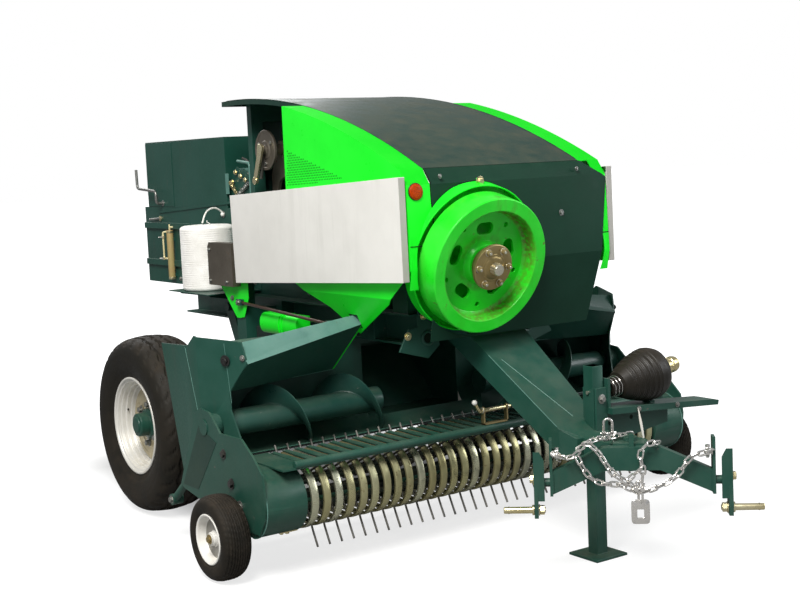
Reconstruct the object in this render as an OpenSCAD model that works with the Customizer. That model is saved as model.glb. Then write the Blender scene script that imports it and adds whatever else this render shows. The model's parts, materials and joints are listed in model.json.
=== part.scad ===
// Trailed small square baler with a full-width pickup, parked on its stand.
// Millimetres. +X is the machine's left, +Y its rear, +Z up, the ground at z = 0.
// Places along the machine are measured from the wheel axle and moved by
// place() to the middle of the whole length.

/* [Wheels] */
// Outer diameter of a main tyre
tyre_d = 760; // [720:5:800]
// Width of a main tyre
tyre_w = 260; // [220:5:280]
// Distance between the middles of the main tyres
wheel_track = 1670; // [1640:10:1700]
// Diameter of the main rim's flange
rim_d = 420; // [380:5:440]
// Diameter of the main hub boss
hub_d = 100; // [90:2:120]
// Diameter of the axle tube
axle_d = 70; // [60:2:80]
// Outer diameter of a gauge tyre
gauge_d = 310; // [290:5:330]
// Width of a gauge tyre
gauge_w = 112; // [100:2:114]
// Diameter of the gauge wheel's rim
gauge_rim_d = 184; // [160:2:200]
// Diameter of the gauge wheel's stub axle
gauge_axle_d = 24; // [20:1:30]

/* [Chamber] */
// Inner width of the bale chamber
chamber_w = 490; // [460:5:500]
// Outer height of the bale chamber
chamber_h = 390; // [370:5:400]
// Length of the bale chamber
chamber_l = 1880; // [1800:10:1950]
// Thickness of the chamber's walls
chamber_wall = 5; // [4:0.5:8]
// Height of the twine box on the chamber
box_h = 330; // [300:5:350]
// Length of the twine box
box_l = 880; // [820:10:900]
// Diameter of the twine spool
spool_d = 250; // [220:5:260]
// Height of the twine spool
spool_h = 300; // [260:5:320]

/* [Hood] */
// Radius of the hood's arc, seen from the side
hood_r = 3180; // [3100:10:3300]
// Height of the hood's highest line
hood_top_z = 1755; // [1740:5:1770]
// Half width of the dark top sheet
hood_half = 376; // [360:2:390]
// Half width over the green side panels
body_half = 480; // [470:1:482]
// Thickness of the panels
sheet = 3; // [2:0.5:4]
// Length of the pale side guards
guard_l = 1284; // [1240:4:1300]
// Depth of the pale side guards
guard_t = 32; // [26:1:36]

/* [Flywheel] */
// Outer diameter of the flywheel
fly_d = 512; // [490:2:520]
// Inner diameter of the flywheel's rim
fly_bore_d = 414; // [400:2:424]
// Depth of the flywheel's rim
fly_w = 106; // [96:2:112]
// Angle of the flywheel's axis below level
fly_tilt = 15; // [13:0.5:17]
// Diameter of the clutch ring on the flywheel
clutch_d = 172; // [160:2:190]
// Diameter of the driveshaft
shaft_d = 45; // [40:1:50]

/* [Feeder] */
// Half width over the side shields
feed_half = 1024; // [1010:2:1028]
// Outer diameter of the auger's flight
auger_d = 250; // [236:2:254]
// Diameter of the auger's tube
auger_tube_d = 110; // [100:2:120]
// Pitch of the auger's flight
auger_pitch = 330; // [300:5:360]
// Thickness of the auger's flight
flight_t = 5; // [4:0.5:8]

/* [Pickup] */
// Distance between the pickup bands
band_pitch = 52; // [50:0.5:53]
// Number of pickup bands
band_n = 33; // [29:2:33]
// Width of a pickup band
band_w = 30; // [26:1:34]
// Radius of the bands' round front
band_r = 122; // [119:1:124]
// Radius of the tines' tips
tine_r = 215; // [205:1:218]
// Diameter of a tine
tine_d = 6; // [5:0.5:7]
// Diameter of the wind guard's tube
guard_tube_d = 30; // [26:1:32]

/* [Hitch] */
// Distance between the shoulders of the lower link pins
pin_spacing = 683; // [670:1:690]
// Diameter of the lower link pins
pin_d = 22; // [21.5:0.1:22.5]
// Length of a lower link pin outside its arm
pin_l = 110; // [90:2:120]
// Swivel of the hitch beam as it is parked
hitch_swivel = 41; // [35:1:43]
// Diameter of the hitch's pivot pin
pivot_d = 32; // [28:1:36]
// Side of the stand's square tube
stand_w = 50; // [44:1:56]
// Side of the stand's foot plate
foot_w = 150; // [130:5:170]

/* [Hidden] */

// Colours of the paint, metal and rubber
bright_green = [0.10, 0.85, 0.16];
dark_green = [0.05, 0.24, 0.20];
zinc = [0.72, 0.66, 0.42];
silver = [0.80, 0.80, 0.78];
rubber = [0.15, 0.13, 0.11];
steel = [0.45, 0.43, 0.40];
white = [0.93, 0.93, 0.90];

// Facets of round pieces that are hulled or swept
$fn = 48;

// The whole length, from the front of the left hitch pin to the chamber's mouth
pivot_y = -2030;
beam_f = 67;
pin_f = beam_f + 4;
front_y = pivot_y - (pin_spacing / 2 + pin_l) * sin(hitch_swivel) - (pin_f + pin_d / 2) * cos(hitch_swivel);
chamber_y0 = -600;
rear_y = chamber_y0 + chamber_l;
mid_y = (front_y + rear_y) / 2;

// Wheels
wheel_x = wheel_track / 2;
wheel_z = tyre_d / 2;
gauge_x = feed_half + 86;
gauge_y = -1090;
gauge_z = gauge_d / 2;

// Bale chamber and frame
chamber_z = 880;
chamber_x = chamber_w / 2 + chamber_wall;
chamber_top = chamber_z + chamber_h;
beam_x = chamber_x + 3;
beam_w = 70;
beam_h = 120;
beam_z = chamber_z - beam_h;
beam_front = -1200;
beam_rear = 700;

// Twine box
box_y = 350;
box_x = chamber_x;
box_wall = 3;
shelf_z = 900;
spool_x = -(chamber_x + 12 + spool_d / 2);
spool_y = 310;

// Hood and side panels
hood_front_y = -1400;
hood_rear_y = 110;
panel_rear_y = -600;
function hood_z(y) = hood_top_z - hood_r + sqrt(hood_r * hood_r - y * y);
arch_y = 60;

// Flywheel, placed by the middle of its front face
fly_x = -174;
fly_y = -1525;
fly_z = 1064;
fly_gap = 8;
ring_r = 280;
ring_w = 70;
shaft_back = 420;

// Feeder
auger_y = -865;
auger_z = 510;
auger_out = feed_half - 84;
auger_in = 262;
feed_t = 6;
trough_gap = 6;
trough_t = 4;
back_y = -700;
feed_top_z = 800;
arm_gap = 6;
arm_t = 8;
arm_x = feed_half + arm_gap;

// Pickup
band_y = -1180;
band_z = 277;
band_t = 4;
band_back = -1000;
finger_t = 6;
reel_y = -1117;
reel_z = 257;
bar_r = 75;
bar_d = 24;
tine_rows = 4;
tine_phase = 50;
drum_in = 866;
guard_y = -1292;
guard_z = 415;
rear_tube_y = -885;
rear_tube_z = 165;
rear_tube_d = 44;

// Tongue and hitch
nose_z0 = 390;
nose_z1 = 458;
nose_r = 40;
beam_deep = 40;
hitch_z0 = 385;
hitch_z1 = 465;
stand_x = 60;
stand_y = -1790;
stand_top = 700;
foot_t = 10;
pin_z = 250;

// Everything is drawn about the axle and moved to the middle of the length
module place() translate([0, -mid_y, 0]) children();

module on_both_sides() {
    children();
    mirror([1, 0, 0]) children();
}

// A box between two corners
module block(lo, hi) translate(lo) cube(hi - lo);

// A round bar between two points
module rod(p, q, d, fn = 32) {
    v = q - p;
    len = norm(v);
    translate(p)
        rotate([0, acos(v.z / len), atan2(v.y, v.x)])
            cylinder(d = d, h = len, $fn = fn);
}

// A plate cut to an outline in Y and Z, from x0 on for its thickness
module side_plate(x0, t, outline)
    translate([x0, 0, 0]) rotate([90, 0, 90]) linear_extrude(t) polygon(outline);

// The same for a shape that is given as children
module side_extrude(x0, t)
    translate([x0, 0, 0]) rotate([90, 0, 90]) linear_extrude(t) children();

// A plate cut to an outline in X and Z, from y0 on for its thickness
module cross_plate(y0, t, outline)
    translate([0, y0 + t, 0]) rotate([90, 0, 0]) linear_extrude(t) polygon(outline);

// A body turned about the X axis, its profile given as radius and place along X
module turn_x(profile) rotate([90, 0, 90]) rotate_extrude($fn = 96) polygon(profile);

module main_frame() place() color(dark_green) {
    on_both_sides() {
        difference() {
            block([beam_x, beam_front, beam_z], [beam_x + beam_w, beam_rear, chamber_z]);
            // Open channel on the outside
            block([beam_x + 8, beam_front - 1, beam_z + 8], [beam_x + beam_w + 1, -960, chamber_z - 8]);
            block([beam_x + 8, -860, beam_z + 8], [beam_x + beam_w + 1, -240, chamber_z - 8]);
            block([beam_x + 8, 100, beam_z + 8], [beam_x + beam_w + 1, beam_rear + 1, chamber_z - 8]);
        }
        // Leg down to the axle
        difference() {
            side_plate(beam_x, 46, [[-90, beam_z], [90, beam_z], [55, wheel_z - 55], [-55, wheel_z - 55]]);
            translate([beam_x - 1, 0, wheel_z]) rotate([0, 90, 0]) cylinder(d = axle_d + 0.6, h = 48);
        }
        // Outrigger with the upright that holds the side guard
        block([beam_x + beam_w, -190, 770], [body_half - 5, -110, 850]);
        block([body_half - 55, -190, 700], [body_half - 5, -110, 1062]);
        // Arm out to the green panel
        block([beam_x + beam_w, -930, 800], [body_half - sheet - 0.3, -890, 850]);
        // Post under the gearbox
        block([beam_x, -1180, chamber_z], [beam_x + 60, -1080, 1000]);
    }
    block([-beam_x - 60, -1180, 1000], [beam_x + 60, -1080, 1015]);
    for (y = [beam_front, -320, 560])
        block([-beam_x, y, beam_z + 20], [beam_x, y + 60, chamber_z]);
}

module axle() place() color(dark_green) {
    translate([-wheel_x - 30, 0, wheel_z]) rotate([0, 90, 0]) cylinder(d = axle_d, h = 2 * wheel_x + 60);
}

// Tapered box beam that slopes down to a level nose over the hitch's pivot
module tongue() place() color(dark_green) {
    slope_y0 = beam_front - 0.3;
    slope_y1 = -1780;
    top_z0 = 876;
    drop = 110;
    difference() {
        union() {
            intersection() {
                side_plate(-160, 320, [[slope_y0, top_z0], [slope_y1, nose_z1 + 30], [slope_y1 - 60, nose_z1],
                    [slope_y1 - 60, nose_z0], [slope_y1, nose_z0], [slope_y0, top_z0 - drop]]);
                translate([0, 0, 300]) linear_extrude(700)
                    polygon([[-145, slope_y0], [145, slope_y0], [100, slope_y1], [70, slope_y1 - 60],
                        [-70, slope_y1 - 60], [-100, slope_y1]]);
            }
            block([-nose_r, pivot_y, nose_z0], [nose_r, slope_y1 - 50, nose_z1]);
            translate([0, pivot_y, nose_z0]) cylinder(r = nose_r, h = nose_z1 - nose_z0);
            // Sleeve of the stand, on the left of the nose
            block([nose_r, stand_y - stand_w / 2 - 10, nose_z0], [stand_x + stand_w / 2 + 9, stand_y + stand_w / 2 + 10, 620]);
        }
        translate([0, pivot_y, nose_z0 - 1]) cylinder(d = pivot_d + 0.6, h = 100);
        block([stand_x - stand_w / 2 - 0.4, stand_y - stand_w / 2 - 0.4, 200],
            [stand_x + stand_w / 2 + 0.4, stand_y + stand_w / 2 + 0.4, 800]);
    }
}

// The hitch turns on the nose's pin; it is drawn straight and swivelled here
module swivelled() place() translate([0, pivot_y, 0]) rotate([0, 0, -hitch_swivel]) children();

module hitch_beam() swivelled() color(dark_green) {
    f0 = beam_f - beam_deep / 2;
    half = 268;
    difference() {
        union() {
            // Bow-shaped bar, level in the middle and dropping to its ends
            cross_plate(-f0 - beam_deep, beam_deep, [[-95, hitch_z1], [95, hitch_z1], [half, hitch_z1 - 80],
                [half, hitch_z0 - 78], [95, hitch_z0], [-95, hitch_z0], [-half, hitch_z0 - 78], [-half, hitch_z1 - 80]]);
            // Clevis plates above and below the nose
            for (z = [nose_z0 - 12.6, nose_z1 + 0.6]) {
                block([-60, -f0 - 5, z], [60, 0, z + 12]);
                translate([0, 0, z]) cylinder(r = 60, h = 12);
            }
            block([-60, -f0 - 5, nose_z0 - 12.6], [60, -f0, nose_z0]);
        }
        translate([0, 0, nose_z0 - 30]) cylinder(d = pivot_d + 0.6, h = 120);
    }
    // Pivot pin with its head
    translate([0, 0, nose_z0 - 24]) cylinder(d = pivot_d, h = nose_z1 - nose_z0 + 54);
    translate([0, 0, nose_z1 + 13]) cylinder(d = pivot_d + 16, h = 14);
    // Shackle plate on top of the bar
    block([-8, -beam_f - 12, hitch_z1], [8, -beam_f + 12, hitch_z1 + 42]);
    arm_u = pin_spacing / 2;
    on_both_sides() {
        // End plate with the chain's anchor
        block([half, -f0 - beam_deep - 4, hitch_z0 - 84], [half + 10, -f0 + 4, nose_z1 + 38]);
        // Arm hanging to the lower link pin
        rod([half + 5, -beam_f, hitch_z1 - 120], [arm_u - 18, -beam_f, hitch_z1 - 120], 30);
        side_plate(arm_u - 22, 14, [[-beam_f - 24, hitch_z1 - 40], [-beam_f + 24, hitch_z1 - 40],
            [-beam_f + 26, pin_z + 12], [-beam_f + 12, pin_z - 24], [-beam_f - 30, pin_z - 24], [-beam_f - 34, pin_z + 12]]);
    }
}

module hitch_pins() swivelled() color(zinc) on_both_sides() {
    arm_u = pin_spacing / 2;
    f = pin_f;
    translate([arm_u - 7.6, -f, pin_z]) rotate([0, 90, 0]) cylinder(d = pin_d + 14, h = 7.6);
    translate([arm_u, -f, pin_z]) rotate([0, 90, 0]) cylinder(d = pin_d, h = pin_l);
    translate([arm_u - 46, -f, pin_z]) rotate([0, 90, 0]) cylinder(d = pin_d + 12, h = 23.6);
}

// One flat link, its long side along Y
module link(len, wide, d) {
    rotate([0, 0, 90]) translate([0, 0, -d / 2]) linear_extrude(d) difference() {
        union() {
            square([len - wide, wide], center = true);
            for (s = [-1, 1]) translate([s * (len - wide) / 2, 0]) rotate(22.5) circle(d = wide * 1.08, $fn = 8);
        }
        union() {
            square([len - wide, wide - 2 * d], center = true);
            for (s = [-1, 1]) translate([s * (len - wide) / 2, 0]) circle(d = (wide - 2 * d) * 1.1, $fn = 6);
        }
    }
}

// Hanging run of chain between two points, sagging as a parabola
module chain_run(p, q, sag, n) {
    function at(t) = p + (q - p) * t - [0, 0, 4 * sag * t * (1 - t)];
    for (i = [0:n - 1]) {
        a = at(i / n);
        b = at((i + 1) / n);
        v = b - a;
        heading = atan2(v.y, v.x) - 90;
        translate((a + b) / 2) rotate([asin(v.z / norm(v)), 0, heading])
            rotate([0, i % 2 == 0 ? 20 : 110, 0]) link(norm(v) + 13, 29, 7);
    }
}

module hitch_chain() swivelled() color(silver) {
    f = -beam_f - beam_deep / 2 - 22;
    chain_run([-245, f, 440], [-10, f - 8, 486], 14, 6);
    chain_run([-225, f, 462], [18, f - 4, 300], 66, 8);
    chain_run([262, f, 452], [18, f - 4, 300], 66, 8);
    chain_run([-130, f - 10, 470], [18, f - 4, 330], 30, 6);
    // Shackle bolts seated on the end plates
    for (s = [-1, 1]) {
        rod([s * 267.7, -80, 446], [s * 244, -80, 446], 10);
        rod([s * 248, -76, 446], [s * 248, -120, 446], 12);
    }
    // Tag plate with a square hole
    difference() {
        block([-8, f - 8, 205], [44, f - 2, 278]);
        block([10, f - 9, 232], [26, f - 1, 250]);
    }
}

module stand() place() color(dark_green) {
    difference() {
        block([stand_x - stand_w / 2, stand_y - stand_w / 2, foot_t - 1], [stand_x + stand_w / 2, stand_y + stand_w / 2, stand_top]);
        block([stand_x - stand_w / 2 + 5, stand_y - stand_w / 2 + 5, foot_t + 20],
            [stand_x + stand_w / 2 - 5, stand_y + stand_w / 2 - 5, stand_top + 1]);
    }
    block([stand_x - foot_w / 2, stand_y - foot_w / 2, 0], [stand_x + foot_w / 2, stand_y + foot_w / 2, foot_t]);
}

// Square tunnel, open at both ends, with the feed opening in its floor
module bale_chamber() place() color(dark_green) {
    x = chamber_x;
    difference() {
        block([-x, chamber_y0, chamber_z], [x, rear_y, chamber_top]);
        block([-x + chamber_wall, chamber_y0 - 1, chamber_z + chamber_wall], [x - chamber_wall, rear_y + 1, chamber_top - chamber_wall]);
        block([-x + 30, chamber_y0 + 40, chamber_z - 1], [x - 30, -330, chamber_z + 10]);
        // Needle slots in the floor and the roof
        for (s = [-1, 1]) block([s * 110 - 18, -250, chamber_z - 1], [s * 110 + 18, -30, chamber_top + 1]);
    }
    // Rails that stiffen the sides
    on_both_sides() for (z = [chamber_z + 90, chamber_z + 280])
        block([x, 760, z], [x + 14, rear_y - 10, z + 30]);
}

// Screws, springs and cranks that squeeze the chamber's rear end
module density_gear() place() color(zinc) on_both_sides() {
    x = chamber_x + 40;
    for (z = [chamber_z + 60, chamber_z + 315])
        block([chamber_x + 0.3, 985, z], [x + 26, 1035, z + 8]);
    rod([x, 1010, chamber_z + 64], [x, 1010, chamber_z + 319], 16);
    rod([x, 1010, chamber_z + 95], [x, 1010, chamber_z + 265], 46);
    // Crank beside the twine box
    rod([chamber_x + 0.3, 1050, 1290], [x + 4, 1050, 1290], 14);
    rod([x, 1050, 1284], [x, 1050, 1356], 16);
    rod([x, 1045, 1350], [x, 1275, 1366], 14);
    rod([x, 1269, 1360], [x, 1276, 1466], 16);
}

module twine_box() place() color(dark_green) difference() {
    block([-box_x, box_y, chamber_top], [box_x, box_y + box_l, chamber_top + box_h]);
    block([-box_x + box_wall, box_y + box_wall, chamber_top + box_wall],
        [box_x - box_wall, box_y + box_l - box_wall, chamber_top + box_h + 1]);
}

// The lid's hinge runs along the left edge of the box
lid_z = chamber_top + box_h + 0.3;
module twine_lid() place() color(dark_green) {
    block([-box_x, box_y, lid_z], [box_x + 6, box_y + box_l, lid_z + 4]);
    translate([box_x + 7, box_y + 60, lid_z + 2]) rotate([-90, 0, 0]) cylinder(d = 12, h = box_l - 120);
}

module twine_shelf() place() color(dark_green) {
    x0 = -chamber_x - 0.3;
    block([x0 - 275, 60, shelf_z - 4], [x0, spool_y + 150, shelf_z]);
    block([x0 - 4, 60, shelf_z], [x0, spool_y + 150, shelf_z + 60]);
    // Bent wire guide over the spool
    g = shelf_z + spool_h;
    rod([x0, spool_y + 70, g + 96], [x0 - 33, spool_y + 70, g + 96], 9);
    rod([x0 - 30, spool_y + 72, g + 96], [x0 - 110, spool_y - 22, g + 60], 8);
    rod([x0 - 108, spool_y - 20, g + 62], [spool_x, spool_y - 10, g + 5], 9);
}

module twine_spool() place() color(white) translate([spool_x, spool_y, shelf_z + 0.2]) difference() {
    cylinder(d = spool_d, h = spool_h);
    translate([0, 0, 8]) cylinder(d = 60, h = spool_h);
}

// Tying gear in a row over the chamber, driven by one shaft
knot_y = -56;
knot_z = 1530;
module knotters() place() color(steel) {
    z0 = chamber_top + 0.3;
    block([-240, -300, z0], [240, -262, z0 + 60]);
    block([-240, 10, z0], [240, 48, z0 + 60]);
    translate([-262, knot_y, knot_z]) rotate([0, 90, 0]) cylinder(d = 50, h = 524);
    for (x = [-165, -60, 60, 165]) {
        side_plate(x - 8, 16, [[-290, z0 + 60], [-270, z0 + 130], [knot_y - 45, knot_z + 40], [knot_y + 45, knot_z + 40],
            [45, z0 + 150], [48, z0 + 60], [10, z0 + 60], [-20, z0 + 120], [-220, z0 + 110], [-262, z0 + 60]]);
    }
    for (x = [-112, 112]) {
        // Cam disc and bill hook of each knotter
        translate([x - 12, knot_y, knot_z]) rotate([0, 90, 0]) cylinder(d = 150, h = 24);
        rod([x, knot_y - 60, knot_z - 20], [x + 20, knot_y - 150, z0 + 110], 26);
        rod([x - 18, knot_y + 30, knot_z - 60], [x - 18, knot_y - 10, z0 + 80], 20);
    }
    // Clutch disc on the right end, with its trip arm
    translate([-262, knot_y, knot_z]) rotate([0, 90, 0]) cylinder(d = 180, h = 14);
    rod([-272, knot_y, knot_z + 10], [-272, knot_y + 30, knot_z - 125], 22);
    translate([-284, knot_y, knot_z]) rotate([0, 90, 0]) cylinder(d = 40, h = 30);
}

// Yoke that swings the needles up through the chamber, parked below it
module needle_yoke() place() color(dark_green) {
    x = beam_x + beam_w + 0.3;
    bar_y = 112;
    bar_z = 596;
    on_both_sides() {
        side_plate(x, 12, [[190, 850], [245, 850], [255, 790], [145, 572], [84, 572], [84, 620], [125, 650], [180, 790]]);
        rod([x, 218, 820], [x + 30, 218, 820], 40);
    }
    rod([-x - 6, bar_y, bar_z], [x + 6, bar_y, bar_z], 44);
    // Curved needles, pointing forward and up
    for (x = [-110, 110])
        translate([x, bar_y, bar_z + 220]) rotate([90, 0, -90]) rotate([0, 0, -90])
            rotate_extrude(angle = 74, $fn = 96) translate([220, 0]) circle(d = 18, $fn = 24);
}

// Arched wall behind the tying gear; it carries the hood's rear end
module canopy_arch() place() color(dark_green) {
    top = hood_z(arch_y + 40) - sheet - 0.6;
    difference() {
        block([-258, arch_y, chamber_top + 0.3], [258, arch_y + 40, top]);
        block([-200, arch_y - 1, chamber_top - 1], [200, arch_y + 41, top - 90]);
        block([-250, arch_y + 4, chamber_top - 1], [250, arch_y + 41, top - 4]);
    }
}

// Sheet along the hood's arc between two places along the machine
module arc_sheet(x0, x1, y0, y1, t) intersection() {
    translate([x0, 0, hood_top_z - hood_r]) rotate([0, 90, 0]) difference() {
        cylinder(r = hood_r, h = x1 - x0, $fn = 360);
        translate([0, 0, -1]) cylinder(r = hood_r - t, h = x1 - x0 + 2, $fn = 360);
    }
    block([x0 - 1, y0, 1000], [x1 + 1, y1, hood_top_z + 10]);
}

module hood_top() place() color(dark_green) {
    arc_sheet(-hood_half, hood_half, hood_front_y, hood_rear_y, sheet);
    // Turned-down lips of the open rear part
    on_both_sides() arc_sheet(hood_half - sheet, hood_half, panel_rear_y, hood_rear_y, 22);
    arc_sheet(-hood_half, hood_half, hood_rear_y - sheet, hood_rear_y, 22);
    // Stiffener across, seated on the arch
    arc_sheet(-258, 258, arch_y, arch_y + 40, sheet + 0.3);
}

// Line of the hood's front in Y and Z, from the crease down
front_line = [[hood_front_y, hood_z(hood_front_y)], [-1440, 1374], [-1455, 1075], [-1400, 800]];
module front_sheet(x0, x1, off) side_plate(x0, x1 - x0, concat(
    [for (p = front_line) p - [off, 0]],
    [for (i = [3:-1:0]) front_line[i] + [sheet - off, i == 0 && off == 0 ? -2 : 0]]));

module along_flywheel() translate([fly_x, fly_y, fly_z]) rotate([90 + fly_tilt, 0, 0]) children();

module hood_front() place() color(dark_green) difference() {
    intersection() {
        front_sheet(-hood_half + 3, body_half, sheet + 0.3);
        cross_plate(-1500, 200, [[-hood_half + 3, 1440], [hood_half, 1440], [hood_half + 4, hood_z(hood_front_y)],
            [body_half, 1362], [430, 1030], [392, 790], [-hood_half + 3, 790]]);
    }
    along_flywheel() translate([0, 0, -300]) cylinder(r = ring_r + 1, h = 320);
}

// Green panel of one side: its face, the margin of the top and the strip round
// the front corner, which reaches in to x = inner
module side_panel(inner) color(bright_green) difference() {
    union() {
        intersection() {
            side_plate(body_half - sheet, sheet, [[hood_front_y, 1800], [hood_front_y, hood_z(hood_front_y)],
                [-1440, 1374], [-1455, 1075], [-1285, 939], [-881, 656], [-850, 900], [panel_rear_y, 1000], [panel_rear_y, 1800]]);
            translate([0, 0, hood_top_z - hood_r]) rotate([0, 90, 0]) cylinder(r = hood_r, h = 600, $fn = 360);
        }
        arc_sheet(hood_half + 0.4, body_half, hood_front_y, panel_rear_y, sheet);
        intersection() {
            front_sheet(inner, body_half, 0);
            block([0, -1500, 1000], [500, -1300, 1500]);
        }
    }
    // Slot for the deflector's flange
    block([body_half - 10, -1024, 824], [body_half + 1, -962, 880]);
    along_flywheel_left() translate([0, 0, -300]) cylinder(r = ring_r + 1, h = 320);
}
module along_flywheel_left() translate([-fly_x, fly_y, fly_z]) rotate([90 + fly_tilt, 0, 0]) children();
module side_panel_right() place() mirror([1, 0, 0]) side_panel(hood_half);
module side_panel_left() place() side_panel(425);

// Pale guard over the drives of one side: a pan with turned-in edges
module side_guard() color(silver) {
    y0 = -1440;
    tilt = 6.1;
    outline = [[y0, 1402], [y0 + guard_l, 1344], [y0 + guard_l, 1010], [y0, 1040]];
    difference() {
        translate([body_half + 4, 0, 1402]) rotate([0, -tilt, 0]) translate([0, 0, -1402]) difference() {
            side_plate(0, guard_t, outline);
            side_plate(-1, guard_t - 2, [outline[0] + [3, -3], outline[1] + [-3, -3], outline[2] + [-3, 3], outline[3] + [3, 3]]);
        }
        // Slot over the front corner
    }
    // Brackets back to the green panel and to the upright
    for (y = [-1300, -720])
        block([body_half + 0.3, y, 1100], [body_half + 50, y + 40, 1108]);
    block([body_half - 4.7, -186, 1045], [body_half + 55, -158, 1053]);
}
module side_guard_right() place() mirror([1, 0, 0]) side_guard();
module side_guard_left() place() side_guard();

module reflector() place() color([0.85, 0.25, 0.05])
    translate([-418, -1442.1, 1340]) rotate([90 - 2.87, 0, 0]) cylinder(d = 58, h = 9);

// Guard ring behind the flywheel, on the gearbox's neck
module flywheel_guard() place() color(bright_green) along_flywheel() {
    difference() {
        translate([0, 0, -fly_w - 50]) cylinder(r = ring_r, h = 56, $fn = 96);
        translate([0, 0, -fly_w - 45]) cylinder(r = ring_r - 5, h = 56, $fn = 96);
        translate([0, 0, -fly_w - 51]) cylinder(d = shaft_d + 14, h = 60);
    }
    // Bracket with its bolt on top
    translate([-14, ring_r - 4, -fly_w - 30]) cube([28, 22, 5]);
}

module flywheel() place() color(bright_green) along_flywheel() {
    r = fly_d / 2;
    ri = fly_bore_d / 2;
    difference() {
        rotate_extrude($fn = 96) polygon([[20, -96], [52, -96], [60, -74], [ri - 14, -74], [ri - 4, -98], [ri - 2, -fly_w],
            [r - 3, -fly_w], [r, -fly_w + 3], [r, -4], [r - 4, 0], [ri + 3, 0], [ri, -3], [ri - 6, -50], [ri - 16, -60],
            [84, -60], [70, -40], [40, -34], [20, -34]]);
        for (i = [0:4]) rotate(72 * i + 20) {
            translate([128, -16, -90]) cylinder(r = 22, h = 60);
            translate([128, 16, -90]) cylinder(r = 22, h = 60);
            translate([106, -16, -90]) cube([44, 32, 60]);
            rotate(36) translate([165, 0, -90]) cylinder(r = 9, h = 60);
        }
    }
    translate([0, 0, -fly_w - 110]) cylinder(d = shaft_d, h = fly_w + 76);
}

module clutch_ring() place() color(zinc) along_flywheel() {
    z0 = -33.7;
    translate([0, 0, z0]) difference() {
        cylinder(d = clutch_d, h = 16, $fn = 96);
        translate([0, 0, -1]) cylinder(d = shaft_d + 30, h = 20);
    }
    translate([0, 0, z0]) cylinder(d = shaft_d + 30, h = 22);
    translate([0, 0, z0 + 22]) cylinder(d = shaft_d, h = 40);
    for (i = [0:5]) rotate(60 * i) translate([clutch_d / 2 - 18, 0, z0 + 16]) cylinder(d = 22, h = 12, $fn = 6);
}

module gearbox() place() color(dark_green) {
    difference() {
        union() {
            along_flywheel() translate([0, 0, -fly_w - 190]) cylinder(d = 220, h = 139.7);
            block([fly_x - 130, -1290, 1015.3], [fly_x + 130, -1070, 1270]);
        }
        along_flywheel() translate([0, 0, -fly_w - 111]) cylinder(d = shaft_d + 0.6, h = 100);
    }
}

// Trough round the augers, open at its middle to the duct up to the chamber
trough_r = auger_d / 2 + trough_gap;
module feed_trough() place() color(dark_green) {
    half = feed_half - feed_t - 0.3;
    lip = 236;
    wall_y = auger_y + trough_r;
    difference() {
        union() {
            side_extrude(-half, 2 * half) difference() {
                translate([auger_y, auger_z]) circle(r = trough_r + trough_t, $fn = 96);
                translate([auger_y, auger_z]) circle(r = trough_r, $fn = 96);
                translate([auger_y, auger_z]) polygon([[0, 0], [300, 0], [300, 300], [-300, 300], [-300, -300],
                    [300 * cos(lip), 300 * sin(lip)]]);
            }
            block([-half, wall_y, auger_z - 1], [half, wall_y + trough_t, feed_top_z]);
        }
        block([-chamber_x + 8, wall_y - 60, auger_z - 90], [chamber_x - 8, wall_y + 10, beam_z - 40]);
        // Slots for the frame's beams
        on_both_sides() block([beam_x - 0.3, wall_y - 1, beam_z - 0.3], [beam_x + beam_w + 0.3, wall_y + trough_t + 1, feed_top_z + 1]);
    }
    // Roof outside the green panels, cut along the bent side sheets
    on_both_sides() translate([0, 0, feed_top_z - trough_t]) linear_extrude(trough_t) polygon([[body_half + 4, -958],
        [feed_half - feed_t - 73.6, -958], [half - 0.3, bend_y + 1.4], [half - 0.3, wall_y], [body_half + 4, wall_y]]);
    // Duct between the frame's beams
    on_both_sides() side_plate(chamber_x - 4, 4, [[wall_y + trough_t, 400], [wall_y + trough_t, beam_z - 0.3],
        [-330, beam_z - 0.3], [-330, 640], [-560, 400]]);
    side_plate(-chamber_x + 4, 2 * chamber_x - 8, [[wall_y + trough_t, 400], [wall_y + trough_t, 404],
        [-562, 404], [-334, 641], [-334, beam_z - 0.3], [-330, beam_z - 0.3], [-330, 639], [-560, 400]]);
}

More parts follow.
